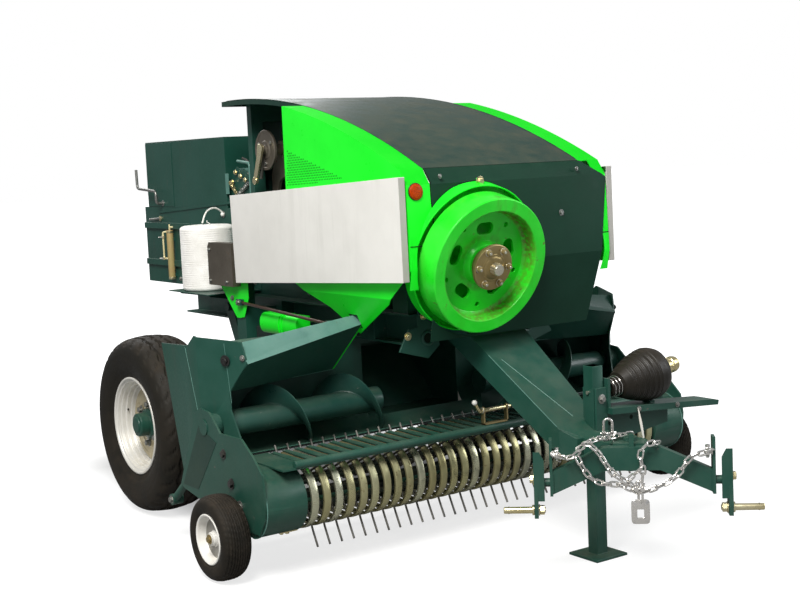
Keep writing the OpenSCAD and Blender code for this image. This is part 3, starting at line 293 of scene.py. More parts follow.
DARK = (0.0085, 0.056, 0.038)
MATERIALS = {
    "dark": coat("dark green enamel", DARK, (0.016, 0.070, 0.052), chips=0.35, dusty=0.20,
                 rough=(0.32, 0.50), streak=((0.03, 0.055, 0.04), 0.5), specular=0.32),
    "hood": coat("dark hood enamel", (0.010, 0.034, 0.026), (0.020, 0.046, 0.034), dust=(0.13, 0.105, 0.07),
                 chips=0.2, dusty=0.45, rough=(0.30, 0.44), bump=0.05, specular=0.12),
    "front": coat("shaded front enamel", (0.0050, 0.030, 0.017), (0.008, 0.038, 0.023), chips=0.15,
                  dusty=0.06, rough=(0.45, 0.65), specular=0.12),
    # Dark green in the panels' perforation: painted shade for the holes.
    "perforation": coat("painted shade of holes in green sheet", (0.006, 0.11, 0.012), (0.008, 0.13, 0.014), chips=0.1,
                        dusty=0.1, specular=0.1),
    "green": coat("bright green enamel", (0.004, 0.80, 0.014), (0.012, 0.88, 0.024),
                  under=(0.02, 0.26, 0.02), dust=(0.05, 0.50, 0.04), chips=0.12, dusty=0.10,
                  rough=(0.26, 0.40), bump=0.04, specular=0.30),
    "flywheel": coat("flywheel enamel", (0.010, 0.66, 0.014), (0.04, 0.78, 0.04), under=(0.14, 0.09, 0.03),
                     dust=(0.12, 0.34, 0.05), chips=0.42, dusty=0.22, rough=(0.26, 0.42), bump=0.08,
                     clear=0.1, streak=((0.10, 0.075, 0.02), 0.55), specular=0.35),
    "pale": coat("pale guard sheet", (0.70, 0.69, 0.655), (0.76, 0.75, 0.715), under=(0.42, 0.40, 0.36),
                 dust=(0.54, 0.51, 0.45), chips=0.12, dusty=0.25, rough=(0.36, 0.5), bump=0.04,
                 streak=((0.50, 0.49, 0.45), 0.35), streak_scale=12.0, specular=0.35),
    "band zinc": coat("yellow zinc bands", (0.43, 0.41, 0.21), (0.56, 0.55, 0.34), under=(0.22, 0.17, 0.07),
                      dust=(0.26, 0.21, 0.12), chips=0.45, dusty=0.3, rough=(0.20, 0.40), metallic=0.85,
                      under_metal=0.6, bump=0.06),
    "zinc": coat("zinc plating", (0.60, 0.57, 0.46), (0.70, 0.69, 0.62), under=(0.28, 0.22, 0.12),
                 dust=(0.3, 0.26, 0.18), chips=0.35, dusty=0.3, rough=(0.22, 0.42), metallic=0.9,
                 under_metal=0.6, bump=0.06),
    "gold": coat("brassy clutch plating", (0.32, 0.245, 0.105), (0.44, 0.36, 0.19), under=(0.12, 0.07, 0.03),
                 dust=(0.22, 0.16, 0.08), chips=0.5, dusty=0.4, rough=(0.28, 0.5), metallic=0.85,
                 under_metal=0.4, bump=0.10),
    "tube zinc": coat("tan passivated tube", (0.42, 0.235, 0.115), (0.36, 0.30, 0.12), chips=0.2, dusty=0.2),
    "pipe zinc": coat("pale passivated pipe", (0.78, 0.72, 0.46), (0.62, 0.54, 0.28), chips=0.1, dusty=0.1),
    "gold zinc": coat("yellow passivated zinc", (0.60, 0.50, 0.24), (0.72, 0.66, 0.44),
                      under=(0.30, 0.22, 0.10), dust=(0.3, 0.25, 0.15), chips=0.35, dusty=0.3,
                      rough=(0.18, 0.36), metallic=0.9, under_metal=0.6, bump=0.06),
    "chain": coat("chain plating", (0.66, 0.64, 0.61), (0.78, 0.76, 0.73), under=(0.34, 0.27, 0.2),
                  dust=(0.4, 0.36, 0.3), chips=0.3, dusty=0.2, rough=(0.16, 0.34), metallic=0.95,
                  under_metal=0.8, bump=0.05),
    "steel": coat("oiled steel", (0.16, 0.13, 0.095), (0.26, 0.22, 0.17), under=RUST, dust=DUST_BROWN,
                  chips=0.6, dusty=0.5, rough=(0.34, 0.58), metallic=0.75, under_metal=0.1, bump=0.15),
    "tine": coat("tine steel", (0.075, 0.075, 0.070), (0.12, 0.115, 0.105), under=(0.10, 0.07, 0.045),
                 dust=DUST_BROWN, chips=0.3, dusty=0.25, rough=(0.34, 0.5), metallic=0.6,
                 under_metal=0.2, bump=0.06),
    # Very dark reel paint with brown dust: painted shade for the inside of the pickup's drum.
    "reel": coat("reel paint darkened as painted shade", (0.010, 0.022, 0.018), (0.022, 0.035, 0.026),
                 under=(0.05, 0.035, 0.02), dust=(0.10, 0.075, 0.045), chips=0.35, dusty=0.5,
                 rough=(0.4, 0.6), bump=0.1, specular=0.3),
    "auger": coat("auger enamel", (0.010, 0.056, 0.044), (0.020, 0.078, 0.060), under=(0.26, 0.26, 0.25),
                  dust=DUST_BROWN, chips=0.4, dusty=0.25, rough=(0.26, 0.42), under_metal=0.8),
    # Pale teal enamel: on the right deflector's flange, on a few parts, and as painted highlight lines along
    # edges and folds.
    "flange": coat("pale worn enamel and painted highlight", (0.075, 0.185, 0.155), (0.11, 0.235, 0.20),
                   dust=(0.2, 0.26, 0.22), chips=0.35, dusty=0.3, rough=(0.26, 0.4),
                   streak=((0.03, 0.10, 0.085), 0.5), specular=0.35),
    "tyre": coat("tyre rubber", (0.0070, 0.0062, 0.0040), (0.012, 0.0105, 0.0072),
                 under=(0.05, 0.040, 0.030), dust=(0.075, 0.055, 0.038), chips=0.25, dusty=0.5,
                 rough=(0.55, 0.75), grain=260.0, bump=0.16, specular=0.22),
    "black": coat("black rubber", (0.0075, 0.0065, 0.0045), (0.014, 0.0115, 0.0080),
                  under=(0.04, 0.03, 0.022), dust=(0.08, 0.06, 0.04), chips=0.2, dusty=0.35,
                  rough=(0.34, 0.55), grain=200.0, bump=0.12, specular=0.3),
    "rim": coat("silver rim enamel", (0.66, 0.65, 0.61), (0.76, 0.74, 0.69), under=(0.36, 0.29, 0.20),
                dust=(0.40, 0.35, 0.26), chips=0.35, dusty=0.28, rough=(0.30, 0.46), metallic=0.25,
                under_metal=0.4, streak=((0.40, 0.35, 0.27), 0.4)),
    "rim gold": coat("yellowed rim paint", (0.42, 0.36, 0.22), (0.56, 0.50, 0.36), under=(0.24, 0.17, 0.09),
                     dust=(0.30, 0.25, 0.16), chips=0.45, dusty=0.35, rough=(0.28, 0.44), metallic=0.4,
                     under_metal=0.3),
    "white rim": coat("white rim enamel", (0.76, 0.75, 0.71), (0.84, 0.83, 0.79), under=(0.30, 0.19, 0.09),
                      dust=(0.42, 0.36, 0.27), chips=0.4, dusty=0.3, rough=(0.32, 0.5),
                      streak=((0.42, 0.30, 0.17), 0.5)),
    "rim plate": coat("grey rim plate", (0.22, 0.215, 0.195), (0.30, 0.29, 0.26), under=(0.25, 0.16, 0.08),
                      dust=(0.30, 0.25, 0.18), chips=0.35, dusty=0.35, rough=(0.34, 0.5),
                      streak=((0.28, 0.20, 0.12), 0.5)),
    "bolt": coat("dull bolts", (0.20, 0.21, 0.20), (0.32, 0.32, 0.30), under=RUST, chips=0.5, dusty=0.4,
                 rough=(0.3, 0.5), metallic=0.85, under_metal=0.2, bump=0.08),
    "dark bolt": coat("oily black bolts and hole shade", (0.012, 0.012, 0.012), (0.03, 0.03, 0.028),
                      under=(0.05, 0.04, 0.03), chips=0.3, dusty=0.2, rough=(0.25, 0.4), metallic=0.3,
                      under_metal=0.2, bump=0.08),
    # Near black: dark seams, and painted shade in place of holes.
    "hole": coat("dark seam and painted hole shade", (0.004, 0.010, 0.006), (0.006, 0.014, 0.008), chips=0.1, dusty=0.1,
                 rough=(0.6, 0.8), specular=0.1),
    # A darker, duller copy of the bright green for faces turned up: painted shade.
    "shaded green edge": coat("shaded top green enamel", (0.005, 0.52, 0.012), (0.012, 0.58, 0.018),
                       under=(0.04, 0.20, 0.03), dust=(0.06, 0.34, 0.04), chips=0.2, dusty=0.15,
                       rough=(0.55, 0.75), bump=0.04, specular=0.04),
    "pale edge": coat("shaded guard edge", (0.36, 0.35, 0.325), (0.42, 0.41, 0.38), under=(0.3, 0.28, 0.25),
                      dust=(0.36, 0.34, 0.3), chips=0.15, dusty=0.3, rough=(0.4, 0.55),
                      bump=0.04, specular=0.3),
    "deep": coat("shaded green enamel", (0.006, 0.030, 0.022), (0.010, 0.042, 0.031), chips=0.3, dusty=0.25,
                 rough=(0.34, 0.5), specular=0.25),
    "copper": coat("brown sheen paint", (0.055, 0.030, 0.022), (0.09, 0.05, 0.035), under=(0.16, 0.12, 0.09),
                   chips=0.3, dusty=0.3, rough=(0.24, 0.4), metallic=0.5, under_metal=0.4, bump=0.05),
    "box steel": coat("stained box sheet", (0.10, 0.085, 0.065), (0.17, 0.15, 0.12), under=RUST,
                      dust=(0.2, 0.16, 0.11), chips=0.4, dusty=0.4, rough=(0.35, 0.55), metallic=0.6,
                      under_metal=0.2, bump=0.08),
}


# Surfaces

class Piece:
    """Collects grids of points into one mesh, each with its own material."""

    def __init__(self, name):
        self.name = name
        self.points = []
        self.faces = []
        self.slots = []
        self.used = []
        self.count = 0

    def material(self, key):
        if key not in self.used:
            self.used.append(key)
        return self.used.index(key)

    def grid(self, points, key, around=False, along=False, flip=False, ends=False):
        """Points of shape (rows, columns, 3) as quads. around joins the last column to the
        first, along the last row to the first, ends closes the first and last rows."""
        points = np.asarray(points, float)
        rows, columns = points.shape[:2]
        index = np.arange(rows * columns).reshape(rows, columns) + self.count
        wide = np.concatenate([index, index[:, :1]], 1) if around else index
        if along:
            wide = np.concatenate([wide, wide[:1]], 0)
        quads = np.stack([wide[:-1, :-1], wide[:-1, 1:], wide[1:, 1:], wide[1:, :-1]], -1).reshape(-1, 4)
        if flip:
            quads = quads[:, ::-1]
        made = [tuple(q) for q in quads.tolist()]
        if ends:
            first, last = index[0].tolist(), index[-1].tolist()
            made += [tuple(first if flip else first[::-1]), tuple(last[::-1] if flip else last)]
        self.points.append(points.reshape(-1, 3))
        self.faces += made
        self.slots += [self.material(key)] * len(made)
        self.count += rows * columns
        return self

    def make(self, body, slot, *replaced, sharp=40.0, bevel=0.0):
        """The mesh as an object that rides on a body, smooth but for its sharp edges."""
        mesh = bpy.data.meshes.new(self.name)
        mesh.from_pydata(np.concatenate(self.points).tolist(), [], self.faces)
        for key in self.used:
            mesh.materials.append(MATERIALS[key])
        mesh.polygons.foreach_set("material_index", self.slots)
        mesh.polygons.foreach_set("use_smooth", [True] * len(self.faces))
        face_outwards(mesh)
        mesh.set_sharp_from_angle(angle=math.radians(sharp))
        mesh.update()
        made = bpy.data.objects.new(self.name, mesh)
        scene.collection.objects.link(made)
        if bevel:
            add_bevel(made, bevel)
        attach(made, body)
        if replaced:
            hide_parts(*replaced)
        return made


def face_outwards(mesh):
    """Turns the faces of every closed shell outwards."""
    work = bmesh.new()
    work.from_mesh(mesh)
    bmesh.ops.recalc_face_normals(work, faces=work.faces)
    work.to_mesh(mesh)
    work.free()


def add_bevel(made, width, segments=2, angle=35.0):
    """Rounds every edge that is sharper than an angle, live on the piece."""
    bevel = made.modifiers.new("edges", "BEVEL")
    bevel.width = width
    bevel.segments = segments
    bevel.limit_method = "ANGLE"
    bevel.angle_limit = math.radians(angle)
    bevel.harden_normals = True


def unit(v):
    """A direction of length 1: v / |v|."""
    v = np.asarray(v, float)
    return v / np.linalg.norm(v)


def side_axes(axis):
    """Two directions at right angles to an axis and to each other."""
    axis = unit(axis)
    guess = np.array([0.0, 0.0, 1.0]) if abs(axis[2]) < 0.9 else np.array([1.0, 0.0, 0.0])
    first = unit(np.cross(guess, axis))
    return first, np.cross(axis, first)


def circle(t, first, second):
    """Points round a circle of radius 1: cos t * first + sin t * second."""
    return np.outer(np.cos(t), first) + np.outer(np.sin(t), second)


def turned(profile, centre, axis, steps=64, start=0.0, sweep=TURN):
    """A profile of (place along the axis, radius) turned about an axis through a centre:
    point = centre + place * axis + radius * (cos t * first + sin t * second)."""
    profile = np.asarray(profile, float)
    first, second = side_axes(axis)
    t = start + sweep * np.arange(steps) / steps
    ring = circle(t, first, second)
    return (np.asarray(centre) + profile[:, 0, None, None] * unit(axis)
            + profile[:, 1, None, None] * ring[None])


def disc(piece, key, centre, axis, profile, steps=48):
    """A turned solid whose profile starts and ends on its axis or in a flat end."""
    return piece.grid(turned(profile, centre, axis, steps), key, around=True, ends=True)


def rounded(length, radius, edge, start=0.0):
    """Profile of a plain cylinder with its two edges rounded by a quarter circle each."""
    a = np.linspace(0, math.pi / 2, 4)
    low = np.stack([start + edge * (1 - np.sin(a[::-1])), radius - edge * (1 - np.cos(a[::-1]))], 1)
    high = np.stack([start + length - edge * (1 - np.sin(a)), radius - edge * (1 - np.cos(a))], 1)
    return np.concatenate([low, high])


def frames_along(path, closed=False):
    """Tangents of a path and two side directions that turn as little as possible."""
    path = np.asarray(path, float)
    if closed:
        tangent = np.roll(path, -1, 0) - np.roll(path, 1, 0)
    else:
        tangent = np.gradient(path, axis=0)
    tangent /= np.linalg.norm(tangent, axis=1)[:, None]
    first = np.zeros_like(path)
    first[0] = side_axes(tangent[0])[0]
    for i in range(1, len(path)):
        v = first[i - 1] - tangent[i] * (first[i - 1] @ tangent[i])
        first[i] = v / np.linalg.norm(v)
    return tangent, first, np.cross(tangent, first)


def tube(piece, key, path, radius, steps=12, closed=False):
    """A round section carried along a path: point = path + radius * (cos t * a + sin t * b)."""
    path = np.asarray(path, float)
    _, a, b = frames_along(path, closed)
    t = TURN * np.arange(steps) / steps
    radius = np.broadcast_to(np.asarray(radius, float), len(path))
    ring = np.cos(t)[None, :, None] * a[:, None] + np.sin(t)[None, :, None] * b[:, None]
    return piece.grid(path[:, None] + radius[:, None, None] * ring, key, around=True, along=closed,
                      ends=not closed)


def smooth_path(points, per=6):
    """A Catmull-Rom curve through points, with so many steps between each two."""
    p = np.asarray(points, float)
    p = np.concatenate([2 * p[:1] - p[1:2], p, 2 * p[-1:] - p[-2:-1]])
    t = np.linspace(0, 1, per, endpoint=False)[:, None]
    parts = []
    for a, b, c, d in zip(p, p[1:], p[2:], p[3:]):
        parts.append(0.5 * (2 * b + (c - a) * t + (2 * a - 5 * b + 4 * c - d) * t ** 2
                            + (3 * b - a - 3 * c + d) * t ** 3))
    return np.concatenate(parts + [p[-2:-1]])


def bent_path(points, radius, per=5):
    """Straight runs joined by arcs: each corner is a quadratic curve between two points set
    back from it by the radius."""
    p = np.asarray(points, float)
    out = [p[0]]
    t = np.linspace(0, 1, per)[:, None]
    for a, b, c in zip(p, p[1:], p[2:]):
        u, v = unit(a - b), unit(c - b)
        back = min(radius, np.linalg.norm(a - b) * 0.45, np.linalg.norm(c - b) * 0.45)
        start, end = b + u * back, b + v * back
        out += list((1 - t) ** 2 * start + 2 * t * (1 - t) * b + t ** 2 * end)
    return np.array(out + [p[-1]])


def slab(piece, key, outline, depth):
    """A flat plate: an outline of points in one plane, carried along a depth vector. The
    outline runs anticlockwise as seen from where the depth points to."""
    outline = np.asarray(outline, float)
    points = np.stack([outline, outline + np.asarray(depth, float)])
    return piece.grid(points, key, around=True, ends=True)


def hex_bolt(piece, key, centre, axis, across=0.018, height=0.008, washer=True):
    """A washer and a six-sided head whose top edge is turned down."""
    axis = unit(axis)
    centre = np.asarray(centre, float)
    r = across / 2 / math.cos(math.pi / 6)
    base = 0.0
    if washer:
        base = 0.002
        disc(piece, key, centre, axis, [(0, r * 1.5), (base * 0.8, r * 1.5), (base, r * 1.44)], 20)
    disc(piece, key, centre, axis, [(base, r), (base + height * 0.85, r), (base + height, r * 0.82)], 6)
    return piece


def block(piece, key, low, high, side=1):
    """A block between two corners in millimetres, mirrored to the right where side is -1."""
    x0, x1 = sorted((side * low[0], side * high[0]))
    outline = at([x0, x1, x1, x0], [low[1], low[1], high[1], high[1]], low[2])
    return slab(piece, key, outline, (0, 0, (high[2] - low[2]) / 1000))


def refined(node, key, width=0.0015, angle=35.0, painted=(), fold=None, shape=None):
    """A CAD node again with its flat faces whole and its edges rounded, in its place. Each
    entry of painted is a material and a test of face middles and normals that takes it.
    With fold, a crease is cut at that height; shape gives the points their new places."""
    source = NODES[node]
    mesh = source.data.copy()
    mesh.name = node + "_finish"
    work = bmesh.new()
    work.from_mesh(mesh)
    bmesh.ops.remove_doubles(work, verts=work.verts, dist=1e-5)
    bmesh.ops.dissolve_limit(work, angle_limit=math.radians(0.6), verts=work.verts, edges=work.edges)
    if fold:
        whole = work.verts[:] + work.edges[:] + work.faces[:]
        bmesh.ops.bisect_plane(work, geom=whole, plane_co=(0, 0, fold), plane_no=(0, 0, 1))
    work.to_mesh(mesh)
    work.free()
    if shape:
        points = np.empty(len(mesh.vertices) * 3)
        mesh.vertices.foreach_get("co", points)
        mesh.vertices.foreach_set("co", shape(points.reshape(-1, 3)).ravel())
        mesh.update()
    mesh.materials.clear()
    mesh.materials.append(MATERIALS[key])
    count = len(mesh.polygons)
    slots = np.zeros(count, int)
    if painted:
        middles, normals = np.empty(count * 3), np.empty(count * 3)
        mesh.polygons.foreach_get("center", middles)
        mesh.polygons.foreach_get("normal", normals)
        for i, (other, test) in enumerate(painted):
            mesh.materials.append(MATERIALS[other])
            slots[test(middles.reshape(-1, 3), normals.reshape(-1, 3))] = i + 1
    mesh.polygons.foreach_set("material_index", slots)
    mesh.polygons.foreach_set("use_smooth", [True] * count)
    mesh.set_sharp_from_angle(angle=math.radians(angle))
    made = bpy.data.objects.new(node + "_finish", mesh)
    scene.collection.objects.link(made)
    if width:
        add_bevel(made, width, angle=angle)
    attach(made, source["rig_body"])
    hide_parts(node)
    return made


def make_twine():
    """Wound white twine: fibres from a noise stretched round the spool, over a cloud of dirt."""
    made, g, shader = start_material("white twine")
    place = g.node("TexCoord").outputs["Object"]
    fibre = g.noise(g.stretched(place, (1.0, 1.0, 5.0)), 300.0, 4.0, 0.6)
    cloud = g.noise(place, 14.0, 4.0)
    clean = g.span(g.weigh(fibre, 0.5, cloud, 0.5), 0.35, 0.6)
    g.put(shader.inputs["Base Color"], g.mix(clean, (0.74, 0.72, 0.67), (0.96, 0.95, 0.92)))
    shader.inputs["Roughness"].default_value = 0.85
    shader.inputs["Specular IOR Level"].default_value = 0.2
    shader.inputs["Sheen Weight"].default_value = 0.3
    bump = g.node("Bump", {"Strength": 0.4, "Distance": 0.002, "Height": fibre})
    g.put(shader.inputs["Normal"], bump.outputs[0])
    return made


def make_lens():
    """Orange reflector: a clear coat over small cells whose edges are darker."""
    made, g, shader = start_material("orange reflector")
    place = g.node("TexCoord").outputs["Object"]
    cells = g.node("TexVoronoi", {"Vector": place, "Scale": 260.0}, feature="DISTANCE_TO_EDGE").outputs[0]
    fade = g.span(cells, 0.0, 0.25)
    tone = g.mix(fade, (0.20, 0.017, 0.0), (0.62, 0.060, 0.0))
    dirt = g.span(g.noise(place, 60.0, 5.0), 0.5, 0.7, 0.0, 0.1)
    g.put(shader.inputs["Base Color"], g.mix(dirt, tone, (0.20, 0.06, 0.01)))
    shader.inputs["Roughness"].default_value = 0.3
    shader.inputs["Coat Weight"].default_value = 0.08
    shader.inputs["Specular IOR Level"].default_value = 0.1
    bump = g.node("Bump", {"Strength": 0.5, "Distance": 0.001, "Height": fade})
    g.put(shader.inputs["Normal"], bump.outputs[0])
    return made


MATERIALS["twine"] = make_twine()
MATERIALS["reflector"] = make_lens()
SLOTS = {row["node"]: row["material_slot"] for row in frame["record"]["subparts"]}
FINISH = {
    "bright_paint": "green", "dark_paint": "dark", "grey_sheet": "pale", "zinc": "zinc",
    "bright_zinc": "chain", "tyre": "tyre", "rim_paint": "rim", "white_rim": "white rim",
    "bare_steel": "steel", "black_rubber": "black", "twine": "twine", "reflector": "reflector",
}
OWN_FINISH = {
    "hood_top": "hood", "hood_front": "hood", "flywheel": "flywheel", "flywheel_guard": "green",
    "clutch_ring": "gold", "pickup_bands": "band zinc", "tine_reel": "tine", "auger_right": "auger",
    "auger_left": "auger",
}
for node, made in NODES.items():
    made.data.materials.clear()
    made.data.materials.append(MATERIALS[OWN_FINISH.get(node, FINISH[SLOTS[node]])])


# Floor and light

DIFFUSE_SKY, GLOSSY_SKY = 0.36, 0.40


def make_stage():
    """A pale floor that keeps the shadow and turns white away from the machine, for the
    camera only: seen = lit floor + lift, where lift grows from near to far."""
    made, g, shader = start_material("studio floor")
    shader.inputs["Base Color"].default_value = (0.30, 0.30, 0.30, 1)
    shader.inputs["Roughness"].default_value = 0.95
    shader.inputs["Specular IOR Level"].default_value = 0.0
    place = g.node("TexCoord").outputs["Object"]
    far = g.node("VectorMath", {0: place}, operation="LENGTH").outputs["Value"]
    lift = g.span(far, 1.2, 4.0, 0.74, 1.2)
    parts = g.node("SeparateXYZ", {0: place}).outputs
    # Under the machine the lift falls away, so the floor there shows darker: painted shade under the
    # machine.
    aside = g.span(g.math("ABSOLUTE", parts[0]), 0.85, 0.55)
    along = g.math("MULTIPLY", g.span(parts[1], -0.08, 0.22), g.span(parts[1], 1.9, 1.5))
    lift = g.math("MULTIPLY", lift, g.math("SUBTRACT", 1.0, g.math("MULTIPLY", aside, along)))
    camera = g.node("LightPath").outputs["Is Camera Ray"]
    shader.inputs["Emission Color"].default_value = (1, 1, 1, 1)
    g.put(shader.inputs["Emission Strength"], g.math("MULTIPLY", lift, camera))
    mesh = bpy.data.meshes.new("floor")
    mesh.from_pydata([(-60, -60, 0), (60, -60, 0), (60, 60, 0), (-60, 60, 0)], [], [(0, 1, 2, 3)])
    mesh.materials.append(made)
    floor = bpy.data.objects.new("floor", mesh)
    scene.collection.objects.link(floor)
    world = bpy.data.worlds.new("studio")
    scene.world = world
    world.use_nodes = True
    g = Graph(world.node_tree)
    back = world.node_tree.nodes["Background"]
    rays = g.node("LightPath").outputs
    seen = g.math("MAXIMUM", rays["Is Camera Ray"], rays["Is Transmission Ray"])
    g.put(back.inputs["Color"], g.mix(seen, (0.93, 0.96, 1.0), (1.0, 1.0, 1.0)))
    lit = g.span(rays["Is Glossy Ray"], 0.0, 1.0, DIFFUSE_SKY, GLOSSY_SKY)
    unseen = g.math("SUBTRACT", 1.0, seen)
    g.put(back.inputs["Strength"], g.math("ADD", g.math("MULTIPLY", lit, unseen), seen))


def lamp(name, place, target, size, power, colour=(1, 1, 1)):
    """A rectangular lamp at a place that shines on a target."""
    data = bpy.data.lights.new(name, "AREA")
    data.shape = "RECTANGLE"
    data.size, data.size_y = size
    data.energy = power
    data.color = colour
    made = bpy.data.objects.new(name, data)
    made.location = place
    z = unit(np.array(place, float) - np.array(target, float))
    x, y = side_axes(z)
    aim = Matrix((x, y, z)).transposed()
    made.matrix_world = Matrix.Translation(place) @ aim.to_4x4()
    scene.collection.objects.link(made)


make_stage()
lamp("key", (-4.1, -3.6, 6.2), (0, 0, 0.7), (3.0, 3.0), 760, (1.0, 0.98, 0.94))
lamp("fill", (5.5, -4.5, 3.5), (0, 0, 0.7), (4.0, 3.0), 170, (0.95, 0.97, 1.0))
lamp("back", (1.0, 6.0, 4.5), (0, 0, 0.8), (5.0, 3.0), 200)


# Wheels

def smoothstep(value, low, high):
    """0 up to low, 1 from high, and t * t * (3 - 2 t) between them."""
    t = np.clip((value - low) / (high - low), 0, 1)
    return t * t * (3 - 2 * t)


def tyre_rings(wall, crown_half, crown_steps, steps):
    """A tyre from bead to bead as grids of place and radius in metres, and the angles of its
    columns: its wall is a smooth curve through the given points, and its crown is stepped
    evenly so that grooves can be cut."""
    curve = smooth_path([(x, r, 0) for x, r in wall], 5)[:, :2]
    cut = len(curve) - 1 - int(np.argmax(curve[::-1, 0] >= crown_half))
    side = curve[:cut + 1]
    crown = curve[cut:]
    x = np.linspace(side[-1, 0], 0, crown_steps)[1:]
    r = np.interp(x, crown[::-1, 0], crown[::-1, 1])
    half = np.concatenate([side, np.stack([x, r], 1)])
    section = np.concatenate([half, half[-2::-1] * (-1, 1)]) / 1000
    x, r = (np.repeat(column[:, None], steps, 1) for column in section.T)
    return x, r, TURN * np.arange(steps) / steps


def make_tread(name, centre, x, r, angle, body, sharp):
    """A tyre's mesh: point = centre + (x, r cos angle, r sin angle)."""
    points = np.stack([x, r * np.cos(angle), r * np.sin(angle)], -1) + centre
    piece = Piece(name + "_tread")
    piece.grid(points, "tyre", around=True, along=True, flip=True)
    piece.make(body, "tyre", name, sharp=sharp)


def groove(distance, width, depth):
    """Depth of a groove with sloping sides, by the distance from its middle."""
    return depth * (1 - smoothstep(np.abs(distance), width * 0.35, width * 0.65))


def triangle(turns):
    """A wave of straight lines between -1 and 1, once each turn."""
    return np.abs((turns % 1) * 2 - 1) * 2 - 1


def main_tyre(name, side, body):
    """Implement tyre: zigzag ribs round the crown, slanted notches on the shoulders and two
    fine rings on the wall; radius = section - grooves(place, angle)."""
    wall = [(92, 197), (99, 205), (108, 222), (122, 252), (129, 285), (129, 314), (121, 340), (106, 359),
            (80, 371), (50, 376), (20, 379), (0, 380)]
    x, r, angle = tyre_rings(wall, 104, 44, 240)
    crown = smoothstep(r, 0.350, 0.360)
    weave = 0.006 * triangle(angle[None] / TURN * 30)
    depth = sum(groove(x - c - weave, 0.013, 0.008) for c in (-0.062, -0.021, 0.021, 0.062))
    slant = (angle[None] / TURN * 30 - np.abs(x) * 14.0) % 1
    shoulder = smoothstep(np.abs(x), 0.080, 0.090) * smoothstep(0.124 - np.abs(x), 0, 0.008)
    notch = (np.abs(slant - 0.5) < 0.13) * shoulder
    rings = sum(groove(r - c, 0.006, 0.0012) for c in (0.235, 0.300)) * (1 - crown)
    r = r - depth * crown - 0.0045 * notch * smoothstep(r, 0.336, 0.348)
    x = x - np.sign(x) * rings
    make_tread(name, at(side * WHEEL_X, 0, WHEEL_Z), x, r, angle, body, 38)


def gauge_tyre(name, side, body):
    """Small tyre with fine ribs round it, each cut by short cross grooves."""
    wall = [(40, 84), (46, 92), (53, 104), (56, 118), (54, 132), (46, 144), (34, 151), (18, 154.3), (0, 155)]
    x, r, angle = tyre_rings(wall, 47, 40, 168)
    ribs = sum(groove(x - c, 0.0050, 0.0042) for c in np.linspace(-0.040, 0.040, 9))
    cross = (np.abs((angle[None] / TURN * 42 + np.abs(x) * 20) % 1 - 0.5) < 0.13) * 0.0022
    crown = smoothstep(r, 0.138, 0.144)
    r = r - np.maximum(ribs, cross) * crown
    make_tread(name, at(side * GAUGE_X, GAUGE_Y, GAUGE_Z), x, r, angle, body, 50)


def filleted(points, radius=3.0, per=4):
    """A section outline of (place, radius) in millimetres with its corners rounded, in metres."""
    return bent_path([(x, r, 0) for x, r in points], radius, per)[:, :2] / 1000


def main_rim(name, side, body):
    """Deep-dished rim turned from one section, its hub boss, wheel bolts and valve hole."""
    centre = at(side * WHEEL_X, 0, WHEEL_Z)
    axis = side * LEFT
    piece = Piece(name + "_dish")
    outer = [(-74, 36), (-74, 49), (20, 55), (20, 158), (-12, 182), (-74, 182), (-93.6, 196), (-107, 198),
             (-107, 210), (-101.6, 210), (-93.6, 195.7), (93.6, 195.7), (101.6, 210), (107, 210), (109, 204),
             (106, 199), (99, 196), (97, 190), (84, 188.5), (82, 184.5), (64, 183), (62, 178.5), (42, 177),
             (40, 172.5), (24, 171), (26, 164), (31, 158), (34, 154), (38, 136), (36, 132), (36, 104),
             (39, 98), (36, 92), (36, 56), (36, 36)]
    outline = filleted(outer, 2.6)
    steps = 120
    piece.grid(turned(outline, centre, axis, steps), "rim", around=True, along=True)
    place, radius = outline.T
    dish = (place > 0.024) & (place < 0.042) & (radius > 0.060) & (radius < 0.160)
    dish[:len(dish) // 2] = False
    for row in np.flatnonzero(dish):
        piece.slots[row * steps:(row + 1) * steps] = [piece.material("rim gold")] * steps
    boss = [(30, 0), (30, 66), (44, 66), (48, 58), (50, 50), (86, 50), (92, 49), (94, 44), (94, 36),
            (99, 34), (101, 28), (101, 0)]
    boss = filleted([(x, max(r, 0.01)) for x, r in boss], 2)
    piece.grid(turned(boss, centre, axis, 56), "dark", around=True, ends=True)
    first, second = side_axes(axis)
    for i in range(6):
        a = TURN * i / 6 + 0.4
        outward = math.cos(a) * first + math.sin(a) * second
        hex_bolt(piece, "bolt", centre + 0.0395 * axis + 0.085 * outward, axis, 0.022, 0.014)
    inward = -(math.cos(2.9) * first + math.sin(2.9) * second)
    hole = centre + 0.052 * axis - 0.1885 * inward
    disc(piece, "black", hole - 0.003 * inward, inward, rounded(0.006, 0.008, 0.001), 20)
    tube(piece, "black", [hole, hole + 0.018 * inward + 0.006 * axis], 0.004, 8)
    piece.make(body, "rim_paint", name, sharp=32)


